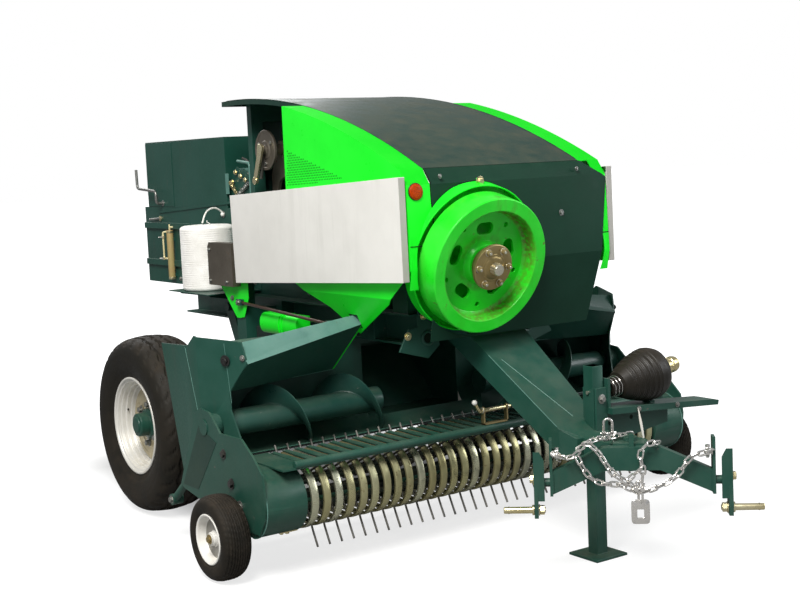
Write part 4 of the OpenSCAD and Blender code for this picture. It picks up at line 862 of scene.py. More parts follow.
def gauge_rim(name, side, body):
    """White flange and greyer dish with a hub cap and its bolt."""
    centre = at(side * GAUGE_X, GAUGE_Y, GAUGE_Z)
    axis = side * LEFT
    piece = Piece(name + "_dish")
    outer = [(-40, 13), (-40, 24), (0, 24), (6, 66), (-38, 80), (-46, 84), (-50, 92), (-46, 92), (-40, 83.6),
             (40, 83.6), (46, 92), (50, 92), (52, 88), (48, 82), (30, 78), (17, 73), (15, 66), (22, 30),
             (28, 26), (37, 24), (37, 13)]
    piece.grid(turned(filleted(outer, 2), centre, axis, 84), "white rim", around=True, along=True)
    plate = [(18.4, 73.0), (16.4, 66.2), (23.2, 30.6), (22.2, 30.0), (15.2, 66.0), (17.2, 73.0)]
    piece.grid(turned(np.array(plate) / 1000, centre, axis, 84), "rim plate", around=True, along=True)
    disc(piece, "rim", centre + 0.0366 * axis, axis, rounded(0.006, 0.021, 0.002), 40)
    hex_bolt(piece, "gold", centre + 0.0426 * axis, axis, 0.021, 0.008)
    piece.make(body, "white_rim", name, sharp=32)


for side, word in ((-1, "right"), (1, "left")):
    main_tyre("tyre_" + word, side, "wheel_" + word)
    gauge_tyre("gauge_tyre_" + word, side, "gauge_" + word)
    main_rim("rim_" + word, side, "wheel_" + word)
    gauge_rim("gauge_rim_" + word, side, "gauge_" + word)


# Pickup

BAND_PITCH, BAND_N, BAND_W, BAND_R = 52, 33, 30, 122
BAND_Y, BAND_Z, BAND_BACK = -1180, 277, -1000
BAND_X = [(i - (BAND_N - 1) / 2) * BAND_PITCH for i in range(BAND_N)]


def band_path():
    """One band seen from the side, from its rear top round the front to the rear tube."""
    a = np.linspace(math.pi / 2, 3 * math.pi / 2, 33)
    arc = np.stack([BAND_Y + BAND_R * np.cos(a), BAND_Z + BAND_R * np.sin(a)], 1)
    top = np.stack([np.linspace(BAND_BACK, BAND_Y, 6)[:-1], np.full(5, BAND_Z + BAND_R)], 1)
    low = np.stack([np.linspace(BAND_Y, -905, 8)[1:], np.full(7, BAND_Z - BAND_R)], 1)
    return np.concatenate([top, arc, low])


def make_bands():
    """Stripper bands: a crowned sheet section with turned-in lips carried along each path."""
    path = band_path()
    tangent = np.gradient(path, axis=0)
    tangent /= np.linalg.norm(tangent, axis=1)[:, None]
    outward = np.stack([tangent[:, 1], -tangent[:, 0]], 1)
    u = np.array([-1.0, -1.0, -0.93, -0.72, -0.4, 0, 0.4, 0.72, 0.93, 1.0, 1.0, 0.86, 0.4, 0, -0.4, -0.86])
    drop = np.array([-9.0, -4.5, -1.6, -0.6, -0.15, 0, -0.15, -0.6, -1.6, -4.5, -9.0, -3.6, -2.4,
                     -2.2, -2.4, -3.6])
    pieces = [Piece("stripper_bands_" + letter) for letter in "abc"]
    place = path[:, None] + drop[None, :, None] * outward[:, None]
    for i, x in enumerate(BAND_X):
        wobble = 1.2 * RNG.standard_normal(2)[0] * np.sin(np.linspace(0, 3, len(path)))[:, None]
        points = at(x + u * BAND_W / 2 + wobble, place[..., 0], place[..., 1])
        pieces[i % 3].grid(points, ("band a", "band b", "band c")[RNG.integers(3)], around=True, ends=True)
    pieces[0].make("pickup", "zinc", "pickup_bands", sharp=50)
    for piece in pieces[1:]:
        piece.make("pickup", "zinc", sharp=50)


MATERIALS["band a"] = MATERIALS["band zinc"]
MATERIALS["band b"] = coat("pale zinc bands", (0.47, 0.47, 0.31), (0.60, 0.61, 0.46),
                           under=(0.26, 0.21, 0.11), dust=(0.28, 0.23, 0.14), chips=0.4, dusty=0.3,
                           rough=(0.18, 0.36), metallic=0.85, under_metal=0.6, bump=0.06)
MATERIALS["band c"] = coat("olive zinc bands", (0.36, 0.33, 0.16), (0.48, 0.46, 0.26),
                           under=(0.18, 0.14, 0.06), dust=(0.24, 0.19, 0.11), chips=0.55, dusty=0.4,
                           rough=(0.22, 0.42), metallic=0.8, under_metal=0.5, bump=0.08)
make_bands()


def make_reel():
    """Reel shaft, its plates and four bars of spring tines: each tine is a wire with a coil
    round its bar and a straight arm that bends a little towards its tip."""
    centre = at(0, REEL_Y, REEL_Z)
    piece = Piece("spring_tines")
    bars = Piece("reel_bars")
    shaft = 1.0257
    half = BAND_X[-1] / 1000 + 0.025
    # Shaft, plates and bars in the very dark reel paint, a painted shade inside the drum.
    disc(bars, "reel", centre - shaft * LEFT, LEFT, rounded(2 * shaft, 0.018, 0.001), 32)
    for x in (-half, -0.416, 0, 0.416, half):
        disc(bars, "reel", centre + (x - 0.003) * LEFT, LEFT, rounded(0.006, 0.083, 0.001), 48)
    coil = np.linspace(0, 2.5 * TURN, 26)
    for k in range(4):
        a = math.radians(50 + 90 * k)
        bar = 0.075 * np.array([0, math.cos(a - math.radians(30)), math.sin(a - math.radians(30))])
        tip = 0.215 * np.array([0, math.cos(a), math.sin(a)])
        disc(bars, "reel", centre + bar - half * LEFT, LEFT, rounded(2 * half, 0.011, 0.001), 20)
        along = unit(tip - bar)
        across = np.cross(LEFT, along)
        for x in (np.array(BAND_X[:-1]) + BAND_PITCH / 2) / 1000:
            wound = (bar + np.stack([x - 0.010 + 0.010 * coil / coil[-1], 0 * coil, 0 * coil], 1)
                     + 0.0145 * circle(coil, along, across))
            foot = bar + x * LEFT
            arm = [wound[-1], foot + 0.03 * along, foot + 0.09 * along + 0.002 * across, tip + x * LEFT]
            wire = np.concatenate([wound[:-1], smooth_path(arm, 3)])
            tube(piece, "tine", centre + wire, 0.0044, 6)
    piece.make("reel", "bare_steel", "tine_reel", sharp=60)
    bars.make("reel", "bare_steel", sharp=40)


make_reel()


def make_windguard():
    """Guard tube with end caps, a flat bar under it and a comb of fingers with turned-up edges."""
    piece = Piece("wind_guard")
    y0, y1 = -1292, -1000
    z = BAND_Z + BAND_R + 0.3
    half = BAND_X[-1] + BAND_W / 2
    disc(piece, "dark", at(-half - 60, y0, 415), LEFT, rounded((2 * half + 120) / 1000, 0.015, 0.002), 28)
    for side in (-1, 1):
        block(piece, "dark", (half + 4, y0 - 8, z), (half + 110, y1, z + 6), side)
    block(piece, "dark", (-half, y0 - 8, z), (half, y0 + 7, z + 6))
    u = np.array([-15, -12.5, -9, 0, 9, 12.5, 15, 15, 9, 0, -9, -15.0])
    lift = np.array([6.4, 5.6, 3.2, 2.6, 3.2, 5.6, 6.4, 2.6, 0.2, 0, 0.2, 2.6])
    v = np.linspace(0, 1, 7)[:, None]
    narrow = 1 - 0.45 * smoothstep(v, 0.55, 1.0)
    for x in BAND_X:
        piece.grid(at(x + u * narrow, y0 + (y1 - y0) * v, z + lift), "dark", around=True, ends=True)
        hex_bolt(piece, "bolt", at(x, y0 + 34, z + 3.0), UP, 0.012, 0.005, washer=False)
    piece.make("pickup", "dark_paint", "windguard", sharp=30)


make_windguard()


# Augers

def make_auger(word, side):
    """Tube with a smooth helical flight and its weld: at x along the tube the flight stands
    at the angle 90 - 360 * (x - top) / pitch, and its outer edge is rounded."""
    piece = Piece("auger_" + word + "_flight")
    start, length, pitch, thick = 0.262, 0.672, 0.330, 0.005
    centre = at(0, AUGER_Y, AUGER_Z)
    axis = side * LEFT
    disc(piece, "auger", centre + start * axis, axis, rounded(0.678, 0.050, 0.002), 64)
    disc(piece, "auger", centre + (start + 0.676) * axis, axis, rounded(0.079, 0.020, 0.001), 36)
    section = np.array([(0, 47), (0, 123.4), (0.8, 124.6), (2.5, 125), (4.2, 124.6), (5, 123.4),
                        (5, 47)]) / 1000
    s = np.linspace(0, 1, 170)
    a = TURN / 4 - TURN * (start + (length - thick) * s - 0.418) / pitch
    x = start + (length - thick) * s[:, None] + section[None, :, 0]
    r = np.repeat(section[None, :, 1], len(s), 0)
    points = np.stack([side * x, r * np.cos(a)[:, None], r * np.sin(a)[:, None]], -1) + centre
    piece.grid(points, "auger", around=True, ends=True)
    for place in (0.0, thick):
        along = side * (start + (length - thick) * s + place)
        bead = np.stack([along, 0.0515 * np.cos(a), 0.0515 * np.sin(a)], 1) + centre
        tube(piece, "auger", bead[2:-2], 0.0028 + 0.0006 * np.sin(a[2:-2] * 40), 6)
    piece.make(word + "_auger", "dark_paint", "auger_" + word, sharp=40)


make_auger("right", -1)
make_auger("left", 1)


# Hitch

# Directions along the parked hitch beam and square to it, away from the machine
HITCH_U = np.array([0.7547, -0.6561, 0.0])
HITCH_F = np.array([-0.6561, -0.7547, 0.0])


def hitch_at(u, f, z):
    """A place by its millimetres along the parked hitch, in front of its pivot and above the
    ground: pivot + u * U + f * F + z * up."""
    return at(0, -2030, 0) + (u * HITCH_U + f * HITCH_F + z * UP) / 1000


def link_ring(piece, key, centre, along, across, length=0.0395, width=0.0245, wire=0.0037,
              steps=20, sides=8):
    """One chain link: centre + along * (w cos t +- (l - w)) + across * w sin t, as a closed wire."""
    t = TURN * (np.arange(steps) + 0.5) / steps
    w = width / 2 - wire
    straight = length / 2 - wire - w
    path = (centre + np.outer(w * np.cos(t) + np.sign(np.cos(t)) * straight, along)
            + np.outer(w * np.sin(t), across))
    tube(piece, key, path, wire, sides, closed=True)


def chain(piece, key, points, pitch=0.0247, roll=0.35):
    """Links along a smooth curve at an even pitch, each turned a quarter against the last."""
    path = smooth_path([hitch_at(*q) for q in points], 14)
    gone = np.concatenate([[0], np.cumsum(np.linalg.norm(np.diff(path, axis=0), axis=1))])
    count = int(gone[-1] / pitch)
    places = (np.arange(count) + 0.5) * gone[-1] / count
    middles = np.stack([np.interp(places, gone, path[:, i]) for i in range(3)], 1)
    tangent, a, b = frames_along(np.concatenate([middles, [2 * middles[-1] - middles[-2]]]))
    for i, middle in enumerate(middles):
        t = math.pi / 4 + (i % 2) * math.pi / 2 + roll * RNG.standard_normal() * 0.5
        link_ring(piece, key, middle, tangent[i], math.cos(t) * a[i] + math.sin(t) * b[i])


def shackle(piece, key, centre, up, across, radius=0.013, height=0.030, wire=0.0045):
    """A bent bow between two eyes with a pin through them."""
    up, across = np.asarray(up), np.asarray(across)
    t = np.linspace(0, math.pi, 13)
    bow = centre + height * up + radius * circle(t, across, up)
    path = np.concatenate([[centre + radius * across], bow, [centre - radius * across]])
    tube(piece, key, path, wire, 10)
    through = np.cross(up, across)
    for s in (-1, 1):
        eye = centre + s * radius * across - 0.006 * through
        disc(piece, key, eye, through, rounded(0.012, 0.0085, 0.001), 20)
    pin = rounded(2 * radius + 0.026, 0.0042, 0.001)
    disc(piece, key, centre - (radius + 0.012) * across, across, pin, 16)
    hex_bolt(piece, key, centre + (radius + 0.006) * across, across, 0.014, 0.008, washer=False)


def make_chain():
    """Six runs of chain over and below the beam, shackles at their ends and the holed tag. Each
    run is a list of places along the hitch, in front of its pivot and above the ground."""
    piece = Piece("chain_links")
    for run in (
            [(-268, 92, 452), (-228, 106, 440), (-192, 114, 448), (-162, 113, 482), (-122, 84, 494),
             (-72, 20, 486), (-30, -16, 486), (12, -40, 484)],
            [(-182, 118, 466), (-150, 122, 488), (-114, 122, 458), (-88, 120, 416), (-62, 120, 382),
             (-30, 120, 360), (4, 118, 338), (24, 116, 318)],
            [(-184, 108, 440), (-162, 112, 398), (-134, 113, 365), (-94, 113, 348), (-48, 113, 344),
             (-10, 114, 330), (20, 113, 314)],
            [(92, 84, 478), (64, 112, 484), (38, 116, 470), (27, 116, 444), (31, 116, 412),
             (34, 116, 384), (29, 116, 352), (25, 115, 326)],
            [(30, 128, 408), (4, 128, 380), (-22, 126, 360)],
            [(268, 94, 452), (232, 110, 446), (196, 114, 436), (169, 114, 402), (141, 114, 368),
             (103, 114, 344), (64, 114, 328), (28, 114, 316)]):
        chain(piece, "chain", run)
    for s in (-1, 1):
        anchor = hitch_at(s * 267.7, 80, 446)
        disc(piece, "chain", anchor, -s * HITCH_U, rounded(0.026, 0.006, 0.001), 20)
        shackle(piece, "chain", hitch_at(s * 252, 84, 446), HITCH_F, UP, 0.010, 0.014)
        hex_bolt(piece, "chain", anchor, -s * HITCH_U, 0.017, 0.009)
    shackle(piece, "chain", hitch_at(-72, -42, 488), UP, HITCH_U, 0.015, 0.036, 0.005)
    link_ring(piece, "chain", hitch_at(24, 116, 300), UP, unit(HITCH_U + HITCH_F), 0.042, 0.026, 0.004)
    shackle(piece, "chain", hitch_at(20, 122, 330), UP, HITCH_U, 0.011, 0.016, 0.004)
    make_tag(piece, hitch_at(23, 112, 250), 0.062, 0.084, 0.006)
    piece.make("hitch", "bright_zinc", "hitch_chain", sharp=40)


def make_tag(piece, centre, width, height, thick):
    """A plate with rounded corners round a square hole, from rings of one point count. Each ring
    is a superellipse, |u / a|^n + |z / b|^n = 1, with its depth and its shift in height."""
    t = TURN * (np.arange(64) + 0.5) / 64
    c, s = np.cos(t), np.sin(t)
    w, h, e = width / 2, height / 2, 0.001
    rings = []
    for half_u, half_z, power, depth, shift in (
            (w - e, h - e, 7, thick, 0), (w, h, 7, thick - e, 0), (w, h, 7, e, 0), (w - e, h - e, 7, 0, 0),
            (0.0125, 0.0155, 16, 0, -0.006), (0.0115, 0.0145, 16, e, -0.006),
            (0.0115, 0.0145, 16, thick - e, -0.006), (0.0125, 0.0155, 16, thick, -0.006)):
        k = (np.abs(c) ** power + np.abs(s) ** power) ** (-1 / power)
        ring = np.outer(half_u * k * c, HITCH_U) + np.outer(half_z * k * s + shift, UP)
        rings.append(centre + ring + depth * HITCH_F)
    piece.grid(np.array(rings), "chain", around=True, along=True)


def make_pins():
    """Lower link pins with collars, nuts on the arms' inner side and thin dark rods through the pins,
    painted shade for their lynch pin holes.
    """
    piece = Piece("link_pins")
    for s in (-1, 1):
        end = hitch_at(s * 341.5, 71, 250)
        axis = s * HITCH_U
        profile = [(-0.0076, 0.001), (-0.0076, 0.0165), (-0.0066, 0.0178), (-0.001, 0.0178), (0.0, 0.0165),
                   (0.0, 0.0118), (0.092, 0.0116), (0.0955, 0.0112), (0.0975, 0.0095), (0.0980, 0.001)]
        disc(piece, "gold zinc", end, axis, profile, 40)
        inner = hitch_at(s * 295.5, 71, 250)
        disc(piece, "gold zinc", inner, axis, [(0, 0.0085), (0.001, 0.010), (0.004, 0.010)], 28)
        nut = [(0, 0.0150), (0.0015, 0.0168), (0.0145, 0.0168), (0.016, 0.0150)]
        disc(piece, "gold zinc", inner + 0.003 * axis, axis, nut, 6)
        disc(piece, "gold zinc", inner + 0.0191 * axis, axis, rounded(0.0042, 0.0195, 0.001), 40)
        hole = end + 0.080 * axis
        # A thin dark rod through the pin: painted shade for the lynch pin hole.
        disc(piece, "dark bolt", hole - 0.0123 * UP, UP, rounded(0.0246, 0.0032, 0.0004), 14)
    piece.make("hitch", "zinc", "hitch_pins", sharp=35)


def make_bell():
    """Rubber guard bell with fine rings round it, crinkled wire clips at its narrow end."""
    slope = math.radians(8.3)
    axis = np.array([math.cos(slope), 0, math.sin(slope)])
    centre = at(124, -1800, 608)
    piece = Piece("pto_guard_bell")
    outer = smooth_path([(46, 48, 0), (70, 69, 0), (90, 70, 0), (140, 88, 0), (190, 97.6, 0)], 12)[:, :2]
    outer[:, 0] = np.linspace(46, 190, len(outer))
    outer[:, 1] = np.interp(outer[:, 0], [46, 90, 140, 190], [48, 70, 88, 97.6])
    outer[:, 1] -= 0.9 + 0.9 * np.sin(outer[:, 0] * 0.9) * smoothstep(outer[:, 0], 60, 80)
    tail = [(205, 98), (222, 94), (240, 86), (254, 70), (262, 60), (262, 51), (250, 50), (200, 80),
            (120, 20), (120, 15), (0, 15)]
    outline = np.concatenate([[(0, 29), (3, 31), (20, 34), (40, 34), (44, 40)], outer, tail]) / 1000
    piece.grid(turned(outline, centre, axis, 96), "black", around=True, along=True)
    first, second = side_axes(axis)
    t = TURN * np.arange(72) / 72
    for place, radius, wave in ((0.006, 0.0345, 0.0012), (0.021, 0.0365, 0.0016), (0.036, 0.0370, 0.0010)):
        ring = centre + np.outer(place + wave * np.sin(t * 7), axis) + radius * circle(t, first, second)
        tube(piece, "chain", ring, 0.0016, 6, closed=True)
    piece.make(NODES["pto_bell"]["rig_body"], "black_rubber", "pto_bell", sharp=32)
    yoke = Piece("pto_coupling")
    outline = [(120.3, 0.5), (120.3, 19), (290, 19), (290, 27), (293, 31), (304, 31), (307, 28.5),
               (315, 28.5), (318, 31), (334, 31), (338, 29), (341, 29), (346, 27), (346, 18.5), (344, 17.5),
               (296, 17.5), (296, 0.5)]
    yoke.grid(turned(np.array(outline) / 1000, centre, axis, 64), "gold zinc", around=True, ends=True)
    for i in range(6):
        a = TURN * i / 6
        side = math.cos(a) * first + math.sin(a) * second
        disc(yoke, "gold zinc", centre + 0.311 * axis + 0.027 * side, side,
             rounded(0.0035, 0.005, 0.001), 16)
    yoke.make(NODES["pto_yoke"]["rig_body"], "zinc", "pto_yoke", sharp=32)


make_chain()
make_pins()
make_bell()


# Flywheel and its guard ring

# The driveline slopes by 15 degrees, so the wheel's plane stands at 105
FLY_TILT = math.radians(105)
FLY_AXIS = np.array([0.0, -math.sin(FLY_TILT), math.cos(FLY_TILT)])
FLY_UP = np.array([0.0, math.cos(FLY_TILT), math.sin(FLY_TILT)])


def fly_at(x, y, z):
    """A place by its millimetres across, up and out along the flywheel's shaft:
    hub + x * left + y * up + z * axis."""
    return at(-174, -1525, 1064) + (x * LEFT + y * FLY_UP + z * FLY_AXIS) / 1000


def add_ring_stain(made, centre, axis, radius, width, colour, amount):
    """Tints a finish where the distance from an axis, |(p - centre) x axis|, is near a radius,
    broken up by noise."""
    g = Graph(made.node_tree)
    socket = made.node_tree.nodes["Principled BSDF"].inputs["Base Color"]
    before = socket.links[0].from_socket
    place = g.node("TexCoord").outputs["Object"]
    arm = g.node("VectorMath", {0: place, 1: tuple(centre)}, operation="SUBTRACT").outputs[0]
    crossed = g.node("VectorMath", {0: arm, 1: tuple(axis)}, operation="CROSS_PRODUCT").outputs[0]
    away = g.node("VectorMath", {0: crossed}, operation="LENGTH").outputs["Value"]
    near = g.span(g.math("ABSOLUTE", g.math("SUBTRACT", away, radius)), width, width * 0.2)
    broken = g.math("MULTIPLY", g.span(g.noise(place, 7.0, 4.0), 0.44, 0.60),
                    g.span(g.noise(place, 60.0, 5.0), 0.30, 0.55))
    g.put(socket, g.mix(g.math("MULTIPLY", g.math("MULTIPLY", near, broken), amount), before, colour))


add_ring_stain(MATERIALS["flywheel"], fly_at(0, 0, 0), FLY_AXIS, 0.200, 0.014, (0.13, 0.085, 0.02), 0.85)
add_ring_stain(MATERIALS["flywheel"], fly_at(0, 0, 0), FLY_AXIS, 0.095, 0.020, (0.08, 0.10, 0.02), 0.6)
refined("flywheel", "flywheel", 0.002)
refined("flywheel_guard", "green", 0.0012)


def make_clutch():
    """Clutch plate with a grooved rim, its splined shaft, clamp bolts with spring washers and
    the bolt on the guard ring. Splines: radius = 22.5 mm less a square wave of the angle."""
    piece = Piece("clutch_plate")
    outline = np.array([(-33.7, 0.5), (-33.7, 66), (-8, 66), (-4, 70), (-4, 83), (-2, 86), (2, 86), (3, 84),
                        (4.5, 84), (5.5, 86), (9.3, 86), (11.3, 83.5), (11.3, 52), (12.8, 50), (12.8, 44),
                        (16, 40), (17.3, 37), (17.3, 0.5)]) / 1000
    disc(piece, "gold", fly_at(0, 0, 0), FLY_AXIS, outline, 96)
    steps = 96
    angle = TURN * np.arange(steps) / steps
    places = np.array([-12.0, 40.0, 40.5, 44.5, 46.3, 46.3]) / 1000
    base = np.array([22.5, 22.5, 22.5, 21.5, 19.5, 0.5]) / 1000
    cut = 0.0022 * (np.arange(steps) // 4 % 2) * np.array([1, 1, 1, 0.6, 0, 0])[:, None]
    radius = base[:, None] - cut
    ring = circle(angle, LEFT, FLY_UP)
    points = fly_at(0, 0, 0) + places[:, None, None] * FLY_AXIS + radius[..., None] * ring[None]
    piece.grid(points, "zinc", around=True, ends=True)
    for i in range(6):
        a = TURN * i / 6
        spot = fly_at(68 * math.cos(a), 68 * math.sin(a), 11.1)
        disc(piece, "zinc", spot, FLY_AXIS, rounded(0.0030, 0.0135, 0.0006), 28)
        hex_bolt(piece, "gold", spot + 0.0028 * FLY_AXIS, FLY_AXIS, 0.020, 0.0105, washer=False)
        disc(piece, "zinc", spot + 0.012 * FLY_AXIS, FLY_AXIS, rounded(0.006, 0.0055, 0.001), 16)
    piece.make(NODES["clutch_ring"]["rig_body"], "zinc", "clutch_ring", sharp=30)
    ring_bolt = Piece("guard_ring_bolt")
    hex_bolt(ring_bolt, "gold zinc", fly_at(0, 288, -130.8), FLY_AXIS, 0.021, 0.012)
    ring_bolt.make("chassis", "zinc")


make_clutch()


# Density cylinders and cranks

def make_density():
    """Passivated cylinders beside the chamber, each with its pipe, straps and top elbow, and a
    bent crank handle over each."""
    piece = Piece("density_cylinders")
    x, y = 272, 952
    pipe_x, pipe_y = 303, 967
    crank_x, crank_y = 290, 1050
    for s in (-1, 1):
        for z in (918, 1100):
            block(piece, "dark", (CHAMBER_X, y - 12, z), (x, y + 12, z + 16), s)
        disc(piece, "tube zinc", at(s * x, y, 905), UP, rounded(0.250, 0.0172, 0.0025), 40)
        for z in (905, 1140):
            disc(piece, "gold zinc", at(s * x, y, z), UP, rounded(0.012, 0.0182, 0.001), 40)
        path = at([s * x, s * pipe_x, s * pipe_x, s * x], [y, pipe_y, pipe_y, y], [1147, 1147, 1012, 1012])
        tube(piece, "pipe zinc", bent_path(path, 0.009, 6), 0.0046, 12)
        for z in (1014, 1121):
            disc(piece, "bolt", at(s * 299, 965, z), (s * 0.907, 0.43, 0),
                 rounded(0.030, 0.0034, 0.0006), 12)
            disc(piece, "gold zinc", at(s * pipe_x, pipe_y, z - 8), UP, rounded(0.016, 0.0072, 0.001), 6)
        disc(piece, "pipe zinc", at(s * x, y, 1154), UP, rounded(0.030, 0.0042, 0.001), 12)
        path = at([s * x, s * x, s * 258], [y, 950, 928], [1160, 1170, 1170])
        tube(piece, "pipe zinc", bent_path(path, 0.004, 5), 0.0052, 12)
        path = at([s * CHAMBER_X] + [s * crank_x] * 4, [crank_y, crank_y, crank_y, 1272, 1276],
                  [1290, 1290, 1353, 1368, 1466])
        tube(piece, "bolt", bent_path(path, 0.022, 7), 0.0072, 12)
        disc(piece, "bolt", at(s * 250.4, crank_y, 1290), s * LEFT, rounded(0.005, 0.015, 0.001), 24)
    piece.make(NODES["density_gear"]["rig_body"], "zinc", "density_gear", sharp=40)


make_density()


# Lift crank on the wind guard's tube

def make_lift():
    """Plate on the tube, two lugs with rounded heads, their rod and a bent lever with a ball."""
    piece = Piece("lift_lever")
    z0, y = 430.3, -1292
    block(piece, "gold", (-60, y - 9, z0), (60, y + 9, z0 + 6))
    a = np.linspace(0, math.pi, 9)
    lug = np.array([(-9, 0)] + [(-9 * math.cos(q), 58 + 11 * math.sin(q)) for q in a] + [(9, 0)])
    for x in (-60, 54):
        outline = [at(x, y - v, z0 + 1 + w) for v, w in lug]
        slab(piece, "gold", outline, (0.006, 0, 0))
    disc(piece, "gold zinc", at(-78, y, z0 + 56), (1, 0, 0), rounded(0.156, 0.008, 0.0015), 24)
    for x, s in ((-60, -1), (60, 1)):
        disc(piece, "zinc", at(x, y, z0 + 56), (s, 0, 0), rounded(0.004, 0.0125, 0.001), 24)
    lever = at([-70, -82, -98, -110], [y + 2, y - 3, y - 11, y - 17], [z0 + 55, z0 + 62, z0 + 82, z0 + 96])
    lever = smooth_path(lever, 5)
    tube(piece, "gold zinc", lever, 0.0066, 12)
    t = np.linspace(0.02, math.pi - 0.02, 12)
    ball = np.stack([-0.0105 * np.cos(t), 0.0105 * np.sin(t)], 1)
    disc(piece, "white rim", lever[-1], unit(lever[-1] - lever[-2]), ball, 20)
    piece.make("pickup", "zinc", "lift_crank", sharp=35)


make_lift()


# Twine

def make_spool():
    """Twine wound round a core: radius = 124 mm less the crossing waves of its windings."""
    piece = Piece("wound_twine")
    steps = 160
    angle = TURN * np.arange(steps) / steps
    outline = [(8.2, 30), (2, 32), (0.3, 40), (0.3, 112), (5, 120), (12, 123.5)]
    outline += [(z, 124) for z in np.linspace(16, 284, 90)]
    outline += [(290, 121.5), (296, 115), (299, 104), (300, 88), (299, 66), (297, 44), (292, 33), (284, 30)]
    outline = np.array(outline)
    z = np.repeat(outline[:, :1], steps, 1)
    r = np.repeat(outline[:, 1:], steps, 1)
    side = smoothstep(z, 6, 20) * smoothstep(294 - z, 0, 12) * (r > 100)
    cross = np.maximum(np.sin(z * 0.62 + 3 * angle[None]), np.sin(z * 0.62 - 3 * angle[None] + 1.0))
    r = r - side * (1.0 - cross) * 0.9
    points = at(-387 + r * np.cos(angle), 310 + r * np.sin(angle), 900.2 + z)
    piece.grid(points, "twine", around=True, along=True)
    strand = at([-361, -372, -386, -387], [300, 302, 303, 300], [1188, 1204, 1213, 1220])
    tube(piece, "twine", smooth_path(strand, 5), 0.0022, 8)
    piece.make(NODES["twine_spool"]["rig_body"], "twine", "twine_spool", sharp=50)


make_spool()


# Frame, body and panels

def facing(direction, least=0.9):
    """A test for faces whose normal points a given way."""
    direction = unit(direction)
    return lambda middles, normals: normals @ direction > least


def panel_shape(points):
    """The lower end of a green panel leans inwards under its fold: the tip is raised to the
    deflector's flange and x = 0.48 less 0.47 times the depth below the fold."""
    x, y, z = points.T
    tip = z < 0.70
    y = np.where(tip, -0.985 + AXLE_Y, y)
    z = np.where(tip, 0.800, z)
    x = x - np.sign(x) * 0.47 * np.clip(0.960 - z, 0, None)
    return np.stack([x, y, z], 1)


def frame_shape(points):
    """The frame's arms to the green panels end at the panels' leaning faces."""
    x, y, z = points.T
    arm = (np.abs(x) > 0.478) & (np.abs(y - AXLE_Y + 0.910) < 0.022) & (np.abs(z - 0.825) < 0.027)
    return np.stack([np.where(arm, np.sign(x) * 0.399, x), y, z], 1)


refined("main_frame", "dark", 0.002, shape=frame_shape)
for node, key, width in (
        ("axle", "dark", 0.002), ("tongue", "dark", 0.003), ("hitch_beam", "dark", 0.0022),
        ("stand", "dark", 0.0028), ("bale_chamber", "dark", 0.0015), ("twine_box", "dark", 0.0012),
        ("twine_lid", "dark", 0.001), ("needle_yoke", "dark", 0.002), ("canopy_arch", "dark", 0.0015),
        ("gearbox", "dark", 0.003), ("hood_front", "front", 0.0008), ("feed_trough", "dark", 0.001),
        ("pickup_frame", "dark", 0.0012), ("pto_support", "dark", 0.0022)):
    refined(node, key, width)
refined("hood_top", "hood", 0.0008)


def flange_test(out):
    """Faces of the deflector's upper flange: by their normal, above z = 0.74."""
    face = facing((0.107 * out, -0.809, 0.578), 0.97)
    return lambda middles, normals: face(middles, normals) & (middles[:, 2] > 0.74)


for word in ("right", "left"):
    # Faces turned up and forward take a darker green: painted shade on the panels' top margins.
    edge = [("shaded green edge", facing((0, -0.35, 1), 0.6))]
    refined("side_panel_" + word, "green", 0.0008, painted=edge, fold=0.960, shape=panel_shape)
    # Only the right flange takes the paler enamel; the left one keeps the dark green as painted shade.
    flange = [("flange", flange_test(-1))] if word == "right" else ()
    refined("side_shield_" + word, "dark", 0.001, painted=flange)


def bolts(name, body, slot, rows):
    """A piece of bolts: each row is a material, a place, a direction and a width in millimetres."""
    piece = Piece(name)
    for key, place, axis, across in rows:
        hex_bolt(piece, key, place, axis, across / 1000, across * 0.42 / 1000)
    return piece.make(body, slot, sharp=30)


def weld(piece, key, path, radius=0.0026):
    """A bead along a line, its thickness rippling like a run of weld."""
    path = np.asarray(path, float)
    ripple = 1 + 0.12 * np.sin(np.arange(len(path)) * 2.1)
    tube(piece, key, path, radius * ripple, 6)


def line(a, b, count=24):
    """Places spread evenly from a to b."""
    return np.linspace(np.asarray(a, float), np.asarray(b, float), count)


def make_end_bolts(word, s):
    """Bolts on the shield and on the pickup's arm below it."""
    bolts("shield_bolts_" + word, "chassis", "zinc", [
        ("dark bolt", at(s * 970.5, -935, 759), (s, -0.496, 0), 24),
        ("bolt", at(s * 934, -1001, 770), (s, -0.496, 0), 13)])
    bolts("arm_bolts_" + word, "pickup", "zinc", [
        ("dark bolt", at(s * PICKUP_X, -1012, 432), (s, 0, 0), 22),
        ("dark bolt", at(s * PICKUP_X, -1062, 331), (s, 0, 0), 24),
        ("bolt", at(s * PICKUP_X, REEL_Y, REEL_Z), (s, 0, 0), 26)])


